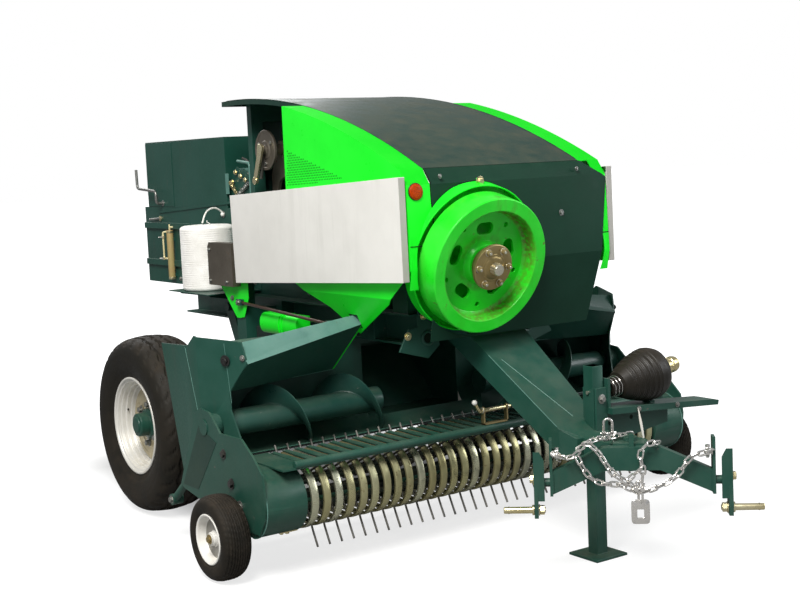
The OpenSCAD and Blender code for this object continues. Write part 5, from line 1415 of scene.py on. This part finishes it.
def make_arm_facet(word, s):
    """The arm's shaded facet, a thin wedge on its face, the weld round the drum's end, and the
    clamp plate under the drum."""
    facet = Piece("arm_facet_" + word)
    corners = np.array([(-822, 512), (-960, 466), (-790, 262), (-662, 262)])
    face = PICKUP_X + 0.2
    base = at(s * face, *corners.T)
    top = at(s * (face + np.array([0.3, 0.9, 0.9, 0.3])), *corners.T)
    facet.grid(np.array([base, top]), "deep", around=True, ends=True)
    arc = np.radians(np.linspace(62, 268, 70))
    drum = at(s * 1028.5, BAND_Y + 122.5 * np.cos(arc), BAND_Z + 122.5 * np.sin(arc))
    weld(facet, "flange", drum, 0.0022)
    block(facet, "gold zinc", (852, -1196, 150.5), (926, -1180, 154.8), s)
    hex_bolt(facet, "gold zinc", at(s * 892, -1188, 150.6), -UP, 0.014, 0.006, washer=False)
    hex_bolt(facet, "gold zinc", at(s * 915, -1188, 150.6), -UP, 0.012, 0.005, washer=False)
    facet.make("pickup", "dark_paint", sharp=30)


def make_shield_marks(word, s):
    """Pale lines along the shield's folds, painted highlights on their edges, the ring round the auger's
    bearing and the lower end's bolt with its washer."""
    marks = Piece("shield_folds_" + word)
    face = s * (SHIELD_X + 0.3)
    # Pale strips on the two folds: painted highlights.
    weld(marks, "flange", line(at(face, -718, 796), at(face, -811, 515)), 0.0011)
    weld(marks, "flange", line(at(s * 967.2, -927, 822), at(s * 958.6, -945, 600)), 0.0010)
    ring = np.radians(np.linspace(0, 360, 48, endpoint=False))
    boss = at(s * (SHIELD_X + 0.2), AUGER_Y + 50 * np.cos(ring), AUGER_Z + 50 * np.sin(ring))
    tube(marks, "dark", boss, 0.0016, 6, closed=True)
    end = at(s * 984, -520, 170)
    disc(marks, "bolt", end + (s * 0.0402, 0, 0), (s, 0, 0), rounded(0.004, 0.016, 0.001), 28)
    hex_bolt(marks, "bolt", end + (s * 0.0440, 0, 0), (s, 0, 0), 0.020, 0.010, washer=False)
    marks.make("chassis", "dark_paint", sharp=30)


for side, word in ((-1, "right"), (1, "left")):
    make_end_bolts(word, side)
    make_arm_facet(word, side)
    make_shield_marks(word, side)


def make_perforation():
    """Rows of small holes in a triangle of each green panel: the points of a staggered lattice that lie
    inside the triangle, each a dimple with a rim, coloured dark as painted shade for the hole."""
    corners = np.array([(-626, 1521), (-611, 1378), (-1041, 1400)], float)
    rows, columns = np.meshgrid(np.arange(16), np.arange(38), indexing="ij")
    y = -616 - columns * 12.0 - (rows % 2) * 6.0
    z = 1382 + rows * 9.6 - (y + 616) * 0.035
    points = np.stack([y.ravel(), z.ravel()], 1)
    inside = np.ones(len(points), bool)
    for a, b in zip(corners, np.roll(corners, -1, 0)):
        inside &= (b[0] - a[0]) * (points[:, 1] - a[1]) - (b[1] - a[1]) * (points[:, 0] - a[0]) < 0
    profile = np.array([(0.0, 0.0033), (0.0002, 0.0033), (0.0004, 0.0029), (0.0003, 0.0024),
                        (0.0002, 0.0005)])
    piece = Piece("panel_holes")
    for side in (-1, 1):
        for y, z in points[inside]:
            disc(piece, "perforation", at(side * PANEL_X, y, z), (side, 0, 0), profile, 8)
    piece.make("chassis", "bright_paint", sharp=60)


make_perforation()


def make_hood_seams():
    """Seams over the hood's front, of the corner strips and along the hood's two sides, where
    they follow its arc."""
    crease = hood_z(-1400)
    piece = Piece("hood_seams")
    weld(piece, "hole", line(at(-371, -1400.6, crease + 0.4), at(371, -1400.6, crease + 0.4), 40), 0.0013)
    weld(piece, "hole", line(at(-479, -1451.6, 1156), at(-428, -1451.6, 1156)), 0.0018)
    weld(piece, "hole", line(at(479, -1451.6, 1146), at(428, -1451.6, 1146)), 0.0018)
    weld(piece, "hole", line(at(-371.5, -1400, crease - 0.5), at(-371.5, -1440.6, 1375)), 0.0030)
    weld(piece, "hole", line(at(-371.5, -1440.6, 1375), at(-371.5, -1448, 1230)), 0.0022)
    for x in (-376.3, 376.3):
        y = np.linspace(-1385, 60, 50)
        weld(piece, "hood", at(x, y, hood_z(y) + 0.3), 0.0012)
    piece.make("chassis", "dark_paint", sharp=60)


def make_hood_bolts():
    """Bolts on the hood's front."""
    bolts("hood_bolts", "chassis", "zinc", [
        ("bolt", at(237, -1450.2, 1236), HOOD_OUT, 14), ("bolt", at(-330, -1450.2, 1236), HOOD_OUT, 10),
        ("bolt", at(330, -1441.5, 1400), HOOD_OUT, 10), ("bolt", at(-330, -1441.5, 1400), HOOD_OUT, 10)])


def make_reflector():
    """Round reflector in its black rim: the lens is stepped from its edge to a low dome."""
    lens = Piece("reflector_lens")
    outline = [(0.0, 0.0005), (0.0, 0.0285), (0.0008, 0.0290), (0.0050, 0.0290), (0.0058, 0.0282),
               (0.0058, 0.0265), (0.0072, 0.0250), (0.0084, 0.0170), (0.0089, 0.0080), (0.0090, 0.0005)]
    disc(lens, "reflector", at(-441, -1441.6, 1350), HOOD_OUT, outline, 48)
    rim = [(0.0, 0.0315), (0.0030, 0.0315), (0.0036, 0.0308), (0.0036, 0.0296),
           (0.0030, 0.0291), (0.0, 0.0291)]
    disc(lens, "dark bolt", at(-441, -1441.4, 1350), HOOD_OUT, rim, 48)
    lens.make("chassis", "reflector", "reflector", sharp=40)


make_hood_seams()
make_hood_bolts()
make_reflector()


# Knotters, twine and the box

def gear(piece, key, centre, axis, rows, teeth, depth, steps=96):
    """A toothed disc: radius = r less depth where the tooth wave is low, row by row of
    (place, radius, share of the tooth depth)."""
    rows = np.asarray(rows, float)
    first, second = side_axes(axis)
    a = TURN * np.arange(steps) / steps
    wave = smoothstep(-np.cos(a * teeth), -0.3, 0.3)
    r = rows[:, 1:2] - depth * wave[None] * rows[:, 2:3]
    ring = circle(a, first, second)
    points = np.asarray(centre) + rows[:, 0, None, None] * unit(axis) + r[..., None] * ring[None]
    piece.grid(points, key, around=True, ends=True)


def make_knotters():
    """Shaft with its frames, toothed cam discs, bill hooks, the clutch disc and gilt trip lever."""
    piece = Piece("knotter_gear")
    z0, ky, kz = CHAMBER_TOP, -56, 1530
    cam = [(0, 0.0005, 0), (0, 0.030, 0), (0.003, 0.034, 0), (0.003, 0.064, 0), (0, 0.069, 0.4),
           (0.001, 0.075, 1), (0.023, 0.075, 1), (0.024, 0.069, 0.4), (0.021, 0.064, 0), (0.021, 0.034, 0),
           (0.024, 0.030, 0), (0.024, 0.0005, 0)]
    pinion = [(0, 0.0005, 0), (0, 0.026, 0.5), (0.002, 0.030, 1), (0.010, 0.030, 1), (0.012, 0.026, 0.5),
              (0.012, 0.012, 0), (0.020, 0.010, 0), (0.020, 0.0005, 0)]
    for y0, y1 in ((-300, -262), (10, 48)):
        block(piece, "dark", (-240, y0, z0), (240, y1, z0 + 60))
        for x in (-215, -112, 0, 112, 215):
            hex_bolt(piece, "bolt", at(x, (y0 + y1) / 2, z0 + 60), (0, 0, 1), 0.019, 0.009)
    disc(piece, "steel", at(-262, ky, kz), (1, 0, 0), rounded(0.524, 0.025, 0.003), 40)
    outline = [(-290, z0 + 60), (-272, z0 + 130), (ky - 52, kz + 8), (ky - 30, kz + 40), (ky + 30, kz + 40),
               (ky + 50, kz + 8), (47, z0 + 150), (48, z0 + 60), (10, z0 + 60), (-20, z0 + 120),
               (-60, z0 + 138), (-170, z0 + 132), (-220, z0 + 110), (-262, z0 + 60)]
    for x in (-165, -60, 60, 165):
        slab(piece, "steel", at(x - 7.8, *np.transpose(outline)), (0.0156, 0, 0))
        disc(piece, "steel", at(x - 14, ky, kz), (1, 0, 0), rounded(0.028, 0.036, 0.002), 36)
    for x in (-112, 112):
        gear(piece, "box steel", at(x - 12, ky, kz), (1, 0, 0), cam, 26, 0.006, 156)
        hook = smooth_path([at(x, ky - 55, kz - 15), at(x + 6, ky - 96, kz - 60),
                            at(x + 16, ky - 134, z0 + 140), at(x + 20, ky - 152, z0 + 112),
                            at(x + 12, ky - 160, z0 + 96)], 6)
        tube(piece, "steel", hook, np.linspace(0.013, 0.006, len(hook)), 10)
        stay = at([x - 18, x - 16, x - 18], [ky + 30, ky + 24, ky - 10], [kz - 60, kz - 110, z0 + 82])
        tube(piece, "tine", smooth_path(stay, 6), 0.0095, 10)
        gear(piece, "steel", at(x + 26, ky - 92, kz - 84), (0.5, -0.6, 0.6), pinion, 12, 0.006, 72)
        tube(piece, "steel", [at(x + 8, ky - 40, kz - 52), at(x + 32, ky - 98, kz - 78)], 0.008, 10)
    out = (-1, 0, 0)
    clutch = [(0, 0.0005), (0, 0.087), (0.002, 0.0895), (0.012, 0.0895), (0.014, 0.087), (0.014, 0.080),
              (0.0105, 0.076), (0.0105, 0.044), (0.0150, 0.038), (0.0150, 0.024), (0.017, 0.021),
              (0.036, 0.020), (0.036, 0.0005)]
    disc(piece, "box steel", at(-248, ky, kz), out, clutch, 80)
    hex_bolt(piece, "gold zinc", at(-284, ky, kz), out, 0.024, 0.010)
    for i in range(3):
        a = TURN * i / 3 + 0.5
        disc(piece, "bolt", at(-258.5, ky + 60 * math.cos(a), kz + 60 * math.sin(a)), out,
             rounded(0.005, 0.008, 0.001), 20)
    tube(piece, "tine", [at(-271, ky, kz + 8), at(-271, -26, 1405)], 0.0085, 12)
    top, low = np.array([ky - 14, kz + 8]), np.array([-8, 1396])
    along = unit(low - top)
    side = np.array([-along[1], along[0]])
    for width, spot in ((20, top), (16, low)):
        boss = np.array([(0, 0.5), (0, width), (1, width + 1), (13, width + 1), (14.5, width - 1),
                         (14.5, 0.5)]) / 1000
        disc(piece, "gold zinc", at(-283.5, *spot), out, boss, 32)
    arm = [top + side * 18, low + side * 14, low - side * 14, top - side * 18]
    slab(piece, "gold zinc", [at(-285, *q) for q in arm], (-0.009, 0, 0))
    piece.make("chassis", "bare_steel", "knotters", sharp=32)


make_knotters()


def make_twine_shelf():
    """The shelf with its upstand, brackets and bolts, and the white wire guide over the spool."""
    wall = -CHAMBER_X
    foot = wall - 4
    shelf = Piece("twine_shelf_plate")
    block(shelf, "dark", (-525.3, 60, 896), (wall, 460, 900))
    block(shelf, "dark", (foot, 60, 899.9), (wall, 460, 960))
    for y in (110, 400):
        slab(shelf, "dark", at([foot, -500, -490, foot], y, [896, 896, 884, 840]), (0, 0.004, 0))
        hex_bolt(shelf, "bolt", at(foot, y, 932), (-1, 0, 0), 0.017, 0.008)
    wire = smooth_path(at([-251, -268, -296, -330, -360, -386], [392, 390, 384, 376, 366, 352],
                          [1240, 1258, 1272, 1270, 1250, 1208]), 7)
    tube(shelf, "white rim", wire, 0.0040, 12)
    a = np.linspace(0.03, math.pi - 0.03, 12)
    ball = np.stack([-0.010 * np.cos(a), 0.010 * np.sin(a)], 1)
    disc(shelf, "white rim", wire[0] - 0.006 * LEFT, unit(wire[0] - wire[1]), ball, 20)
    disc(shelf, "bolt", at(-250.2, 392, 1240), (-1, 0, 0), rounded(0.004, 0.016, 0.001), 24)
    shelf.make("chassis", "dark_paint", "twine_shelf", sharp=32)


def make_box_panels():
    """Lapped panel and edge strip on each side of box and chamber, the bolts along them, and
    the strap and latch on the right."""
    piece = Piece("box_panels")
    for s in (-1, 1):
        block(piece, "dark", (250.05, 922, 1274), (252, 1228, 1596), s)
        strip = at(s * 250.05, [315, 1104, 1104, 315], [1302, 1250, 1238, 1290])
        slab(piece, "dark", strip, s * 0.005 * LEFT)
        for y in (-520, -360, 500, 900):
            hex_bolt(piece, "bolt", at(s * 250.1, y, 908), (s, 0, 0), 0.013, 0.006)
    block(piece, "flange", (-256, 320, 1336), (-250.1, 346, 1432))
    tube(piece, "bolt", [at(-252, 1087, 1212), at(-262, 1150, 1208), at(-266, 1197, 1205)], 0.0055, 10)
    disc(piece, "gold zinc", at(-250.1, 1090, 1212), (-1, 0, 0), rounded(0.008, 0.013, 0.001), 24)
    piece.make("chassis", "dark_paint", sharp=30, bevel=0.0006)


def make_lid_hinges():
    """Hinge plates on the lid, each with two bolts."""
    hinges = Piece("lid_hinges")
    for y in (480, 790, 1100):
        block(hinges, "dark", (214, y - 24, 1604.2), (252, y + 24, 1607))
        for dy in (-13, 13):
            hex_bolt(hinges, "bolt", at(231, y + dy, 1607), (0, 0, 1), 0.010, 0.005, washer=False)
    hinges.make("box_lid", "dark_paint", sharp=32)


def make_stained_box():
    """The small box beside the spool: a plate with one cut corner, 43 mm deep, and its bolts."""
    small = Piece("stained_box")
    outline = [(-172, 948), (50, 948), (50, 1118), (36, 1136), (-172, 1136)]
    slab(small, "box steel", at(-477, *np.transpose(outline)), (-0.043, 0, 0))
    for y, z in ((-120, 966), (32, 966), (32, 1104)):
        hex_bolt(small, "bolt", at(-520, y, z), (-1, 0, 0), 0.011, 0.005)
    small.make("chassis", "dark_paint", sharp=30, bevel=0.004)


make_twine_shelf()
make_box_panels()
make_lid_hinges()
make_stained_box()


# Drive, front bracket and coupling

def make_drive_rod():
    """The thin brown rod along the right frame and the two blocks that carry it."""
    piece = Piece("drive_rod")
    tube(piece, "copper", line(at(-488, -180, 879), at(-488, -892, 839), 3), 0.0068, 16)
    block(piece, "dark", (-498, -192, 866), (-481.2, -150, 892))
    block(piece, "dark", (-498, -906, 826), (-480.1, -878, 852))
    hex_bolt(piece, "bolt", at(-498, -171, 879), (-1, 0, 0), 0.017, 0.008)
    hex_bolt(piece, "bolt", at(-498, -892, 839), (-1, 0, 0), 0.017, 0.008)
    piece.make("chassis", "dark_paint", sharp=30)


def make_green_cover():
    """Ribbed cover beside the frame, a half round carried along it: x = -440 - 32 (cos v)^0.8,
    z = 798 + 44 sin v, with the flat lobe on the panel over it."""
    cover = Piece("green_cover")
    a = np.radians(np.linspace(-90, 90, 25))
    section = [(-440 - 32 * math.cos(v) ** 0.8, 798 + 44 * math.sin(v)) for v in a]
    section = [(-402, 754)] + section + [(-402, 842)]
    for s in (-1, 1):
        slab(cover, "green", [at(-s * x, -306, z) for x, z in section], (0, -0.300, 0))
        for y in (-462, -482):
            rib = [(x * 1.004 - 2.5 * (x < -440), 798 + (z - 798) * 1.05) for x, z in section]
            slab(cover, "green", [at(-s * x, y, z) for x, z in rib], (0, -0.006, 0))
        block(cover, "dark", (322.8, -500, 792), (404, -464, 798), s)
    for s in (-1, 1):
        lobe = [(22, 962), (22, 950), (-120, 808), (-148, 808), (-190, 815), (-235, 900), (-235, 1006),
                (-176, 1010), (-176, 962)]
        slab(cover, "green", at(s * (PANEL_X - 0.6), *np.transpose(lobe)), (s * 0.0016, 0, 0))
        hex_bolt(cover, "bolt", at(s * (PANEL_X + 1), -90, 892), (s, 0, 0), 0.015, 0.007)
    cover.make("chassis", "bright_paint", sharp=40)


def make_front_bracket():
    """Bracket plates on the frame's front, each with a ringed hole and three bolts."""
    eye = Piece("front_bracket")
    for s in (-1, 1):
        outline = [(-378, 744), (-332, 824), (-290, 832), (-285, 892), (-238, 892), (-205, 820),
                   (-190, 752), (-246, 706)]
        slab(eye, "dark", [at(-s * x, -1200.6, z) for x, z in outline], (0, -0.009, 0))
        a = TURN * np.arange(48) / 48
        tube(eye, "dark", at(s * (246 - 25 * np.cos(a)), -1211, 784 + 25 * np.sin(a)), 0.006,
             10, closed=True)
        # A thin dark disc in the ring: painted shade for the hole.
        disc(eye, "hole", at(s * 246, -1209.7, 784), (0, -1, 0), rounded(0.0010, 0.021, 0.0004), 40)
        for x, z in ((-262, 872), (-338, 800), (-215, 806)):
            hex_bolt(eye, "gold zinc", at(-s * x, -1209.6, z), (0, -1, 0), 0.019, 0.009)
    eye.make("chassis", "dark_paint", sharp=30, bevel=0.0012)


def make_nose():
    """Bolts, pin with its ring, pale edge lines as painted highlight and welds of tongue, stand and coupling
    support.
    """
    nose = Piece("nose_details")
    for z in (430, 580):
        hex_bolt(nose, "bolt", at(67, -1825.1, z), (0, -1, 0), 0.020, 0.010)
    tube(nose, "zinc", [at(28, -1790, 604), at(108, -1790, 604)], 0.0065, 12)
    t = TURN * np.arange(28) / 28
    tube(nose, "zinc", at(104, -1790 + 15 * np.sin(t), 590 + 15 * np.cos(t)), 0.0018, 6, closed=True)
    for s in (-1, 1):
        weld(nose, "dark", line(at(s * 40.6, -1838, 457), at(s * 99, -1782, 487), 16), 0.003)
        weld(nose, "dark", line(at(s * 142, -1203, 876), at(s * 142, -1203, 768), 30), 0.0035)
    weld(nose, "dark", line(at(-138, -1203, 877), at(138, -1203, 877), 60), 0.0035)
    weld(nose, "dark", line(at(40, -1825.6, 459), at(94, -1825.6, 459), 20), 0.003)
    # Pale lines on the tongue's top edges: painted highlights.
    weld(nose, "flange", line(at(-127.4, -1428, 723.6), at(-101.2, -1768, 496.4), 90), 0.0013)
    weld(nose, "flange", line(at(-87, -1455, 705.8), at(4, -1740, 515.2), 90), 0.0013)
    for x in (226, 425):
        hex_bolt(nose, "bolt", at(x, -1850.2, 533 - (x - 94) * 0.0617), (0, -1, 0), 0.012, 0.006)
    # Two dark dimples: painted shade standing for holes.
    dimple = [(0, 0.0085), (0.0006, 0.0080), (0.0004, 0.0068), (0.0003, 0.0005)]
    for x, z in ((133, 478), (240, 486)):
        disc(nose, "hole", at(x, -1795.1, z), (0, -1, 0), dimple, 28)
    weld(nose, "dark", line(at(112, -1796, 521), at(430, -1796, 501), 70), 0.003)
    nose.make("chassis", "dark_paint", sharp=32)


def make_arm_flanges():
    """Flanges on the link arms with their bolts and welds, and the pale lever on the beam."""
    arms = Piece("hitch_arm_flanges")
    for s in (-1, 1):
        outline = [(333.4, 286), (297, 286), (297, 428), (312, 456), (333.4, 456)]
        slab(arms, "dark", [hitch_at(s * u, 90.5, z) for u, z in outline], 0.006 * HITCH_F)
        hex_bolt(arms, "gold zinc", hitch_at(s * 333.6, 67, 358), s * HITCH_U, 0.026, 0.012)
        weld(arms, "dark", line(hitch_at(s * 267, 89, 380), hitch_at(s * 267, 89, 312), 18), 0.003)
    blade = np.stack([hitch_at(50 - 16 * q, -40, 470 + 104 * q) for q in np.linspace(0, 1, 9)])
    tube(arms, "white rim", blade, np.array([3.0, 3.6, 4.2, 4.6, 4.6, 4.2, 3.4, 2.2, 0.9]) / 1000, 10)
    arms.make("hitch", "dark_paint", sharp=32)


make_drive_rod()
make_green_cover()
make_front_bracket()
make_nose()
make_arm_flanges()


# Guards, deflectors and the dark wall that paints the shade behind the knotters

def make_guards():
    """Pale guards: a folded pan with turned-in edges from rings of its outline, each ring with its inset and
    its place across, a thin darker strip on the front edge as painted shade, and brackets."""
    outline = np.array([(-1441, 1404), (-180, 1342), (-193, 967), (-1446, 1031)], float)
    middle = outline.mean(0)
    for side, word in ((-1, "right"), (1, "left")):
        piece = Piece("guard_pan_" + word)
        rings = []
        for inset, x in ((1.6, 513.2), (1.6, 486), (0, 486), (0, 514.8)):
            ring = outline + inset * np.sign(middle - outline)
            rings.append(at(side * x, *ring.T))
        piece.grid(np.array(rings), "pale", around=True, ends=True)
        # A thin strip in the shaded grey on the front edge: painted shade.
        lap = at([side * 487, side * 513, side * 513, side * 487], [-1441.6, -1441.6, -1446.6, -1446.6],
                 [1402, 1402, 1033, 1033])
        slab(piece, "pale edge", lap, (0, -0.0011, 0))
        for y in (-1300, -720):
            block(piece, "dark", (480.3, y, 1100), (513.4, y + 40, 1108), side)
        block(piece, "dark", (475.3, -222, 1045), (513.4, -184, 1053), side)
        piece.make("chassis", "grey_sheet", "side_guard_" + word, sharp=32, bevel=0.0011)


make_guards()


def make_deflector_ends():
    """Inner end of each deflector's face, in the plane of the CAD face, with the green trim
    along its edge: a point is origin + s * inwards + t * down the slope."""
    tilt, fall = math.radians(10.5), math.radians(-45.4)
    for side, word in ((-1, "right"), (1, "left")):
        inwards = np.array([-side * math.cos(tilt), 0, math.sin(tilt)])
        down = np.array([side * math.sin(fall) * math.sin(tilt), math.cos(fall),
                         math.sin(fall) * math.cos(tilt)])
        out = unit(np.cross(inwards, down))
        out = out * np.sign(-out[1])
        origin = at(side * 922, -1014, 750)

        def spot(s, t):
            return origin + (s * inwards + t * down) / 1000

        piece = Piece("deflector_end_" + word)
        face = [(439.2, 0), (521, 0), (449, 260), (300, 231), (230.4, 205.4), (350, 205.4)]
        slab(piece, "dark", [spot(s, t) for s, t in face], -0.0039 * out)
        trim = [(521.4, 0), (529, 0), (457, 262), (449.4, 262)]
        slab(piece, "green", [spot(s, t) for s, t in trim], -0.0039 * out)
        # Pale lines along the face's lower edges: painted highlights.
        weld(piece, "flange", line(spot(-62, 139), spot(230, 204.5), 60) + 0.0012 * out, 0.0013)
        weld(piece, "flange", line(spot(232, 205.5), spot(448, 259.5), 60) + 0.0012 * out, 0.0013)
        piece.make("chassis", "dark_paint", sharp=30)


make_deflector_ends()


def spring(piece, key, start, axis, radius, wire, turns, length, per=16, sides=8):
    """A coil: start + axis * length * s + radius * (cos, sin)(2 pi turns s), with closed ends."""
    s = np.linspace(0, 1, int(turns * per))
    first, second = side_axes(axis)
    rise = smoothstep(s, 0.0, 1.0) * 0.15 + s * 0.85
    a = TURN * turns * s
    coil = radius * circle(a, first, second)
    tube(piece, key, start + np.outer(rise * length, unit(axis)) + coil, wire, sides)


def make_bulkhead():
    """A wall under the hood behind the knotters, in the shaded green: a dark sheet that stands for the shade
    there.
    """
    piece = Piece("shade_bulkhead")
    block(piece, "deep", (-230, 83, 1332), (230, 86, 1702))
    piece.make("chassis", "dark_paint", sharp=30)


def make_tensioners():
    """Twine tensioners on the chamber's top: cheeks with rollers, springs and bent fingers."""
    piece = Piece("twine_tensioners")
    block(piece, "dark", (-240, 104, CHAMBER_TOP - 0.1), (-40, 336, 1276))
    cheek = [(126, 1276), (326, 1276), (322, 1360), (300, 1440), (262, 1462), (226, 1440), (196, 1452),
             (150, 1412), (130, 1340)]
    for x in (-236, -140, -60):
        slab(piece, "dark", at(x, *np.transpose(cheek)), (0.005, 0, 0))
    for y, z, r, key in ((172, 1400, 0.021, "zinc"), (262, 1436, 0.019, "flange"),
                         (296, 1392, 0.021, "bolt"), (216, 1418, 0.015, "zinc")):
        disc(piece, key, at(-231, y, z), (1, 0, 0), rounded(0.091, r, 0.002), 32)
        disc(piece, "bolt", at(-244, y, z), (1, 0, 0), rounded(0.190, 0.006, 0.001), 16)
        hex_bolt(piece, "gold zinc", at(-244, y, z), (-1, 0, 0), 0.014, 0.007)
    for x, y, lean in ((-205, 150, -30), (-185, 206, 24), (-112, 168, -20), (-98, 262, 30)):
        finger = at([x, x, x - 6, x - 22], y + lean * np.array([0, 0.3, 1, 2.2]), [1276, 1370, 1476, 1502])
        tube(piece, "tine", smooth_path(finger, 6), 0.0055, 10)
    spring(piece, "bolt", at(-247, 132, 1386), (0, 0.9, -0.45), 0.0085, 0.0017, 15, 0.120)
    pipe = bent_path(at(-246, [118, 118, 232], [1340, 1476, 1488]), 0.02, 6)
    tube(piece, "flange", pipe, 0.007, 12)
    spring(piece, "gold zinc", at(-247, 316, 1392), (0, -0.75, -0.66), 0.0075, 0.0016, 13, 0.090)
    for y, z in ((132, 1386), (240, 1332), (316, 1392), (248.5, 1332.6)):
        disc(piece, "bolt", at(-252, y, z), (1, 0, 0), rounded(0.018, 0.0045, 0.0008), 16)
    piece.make("chassis", "bare_steel", sharp=32)


make_bulkhead()
make_tensioners()
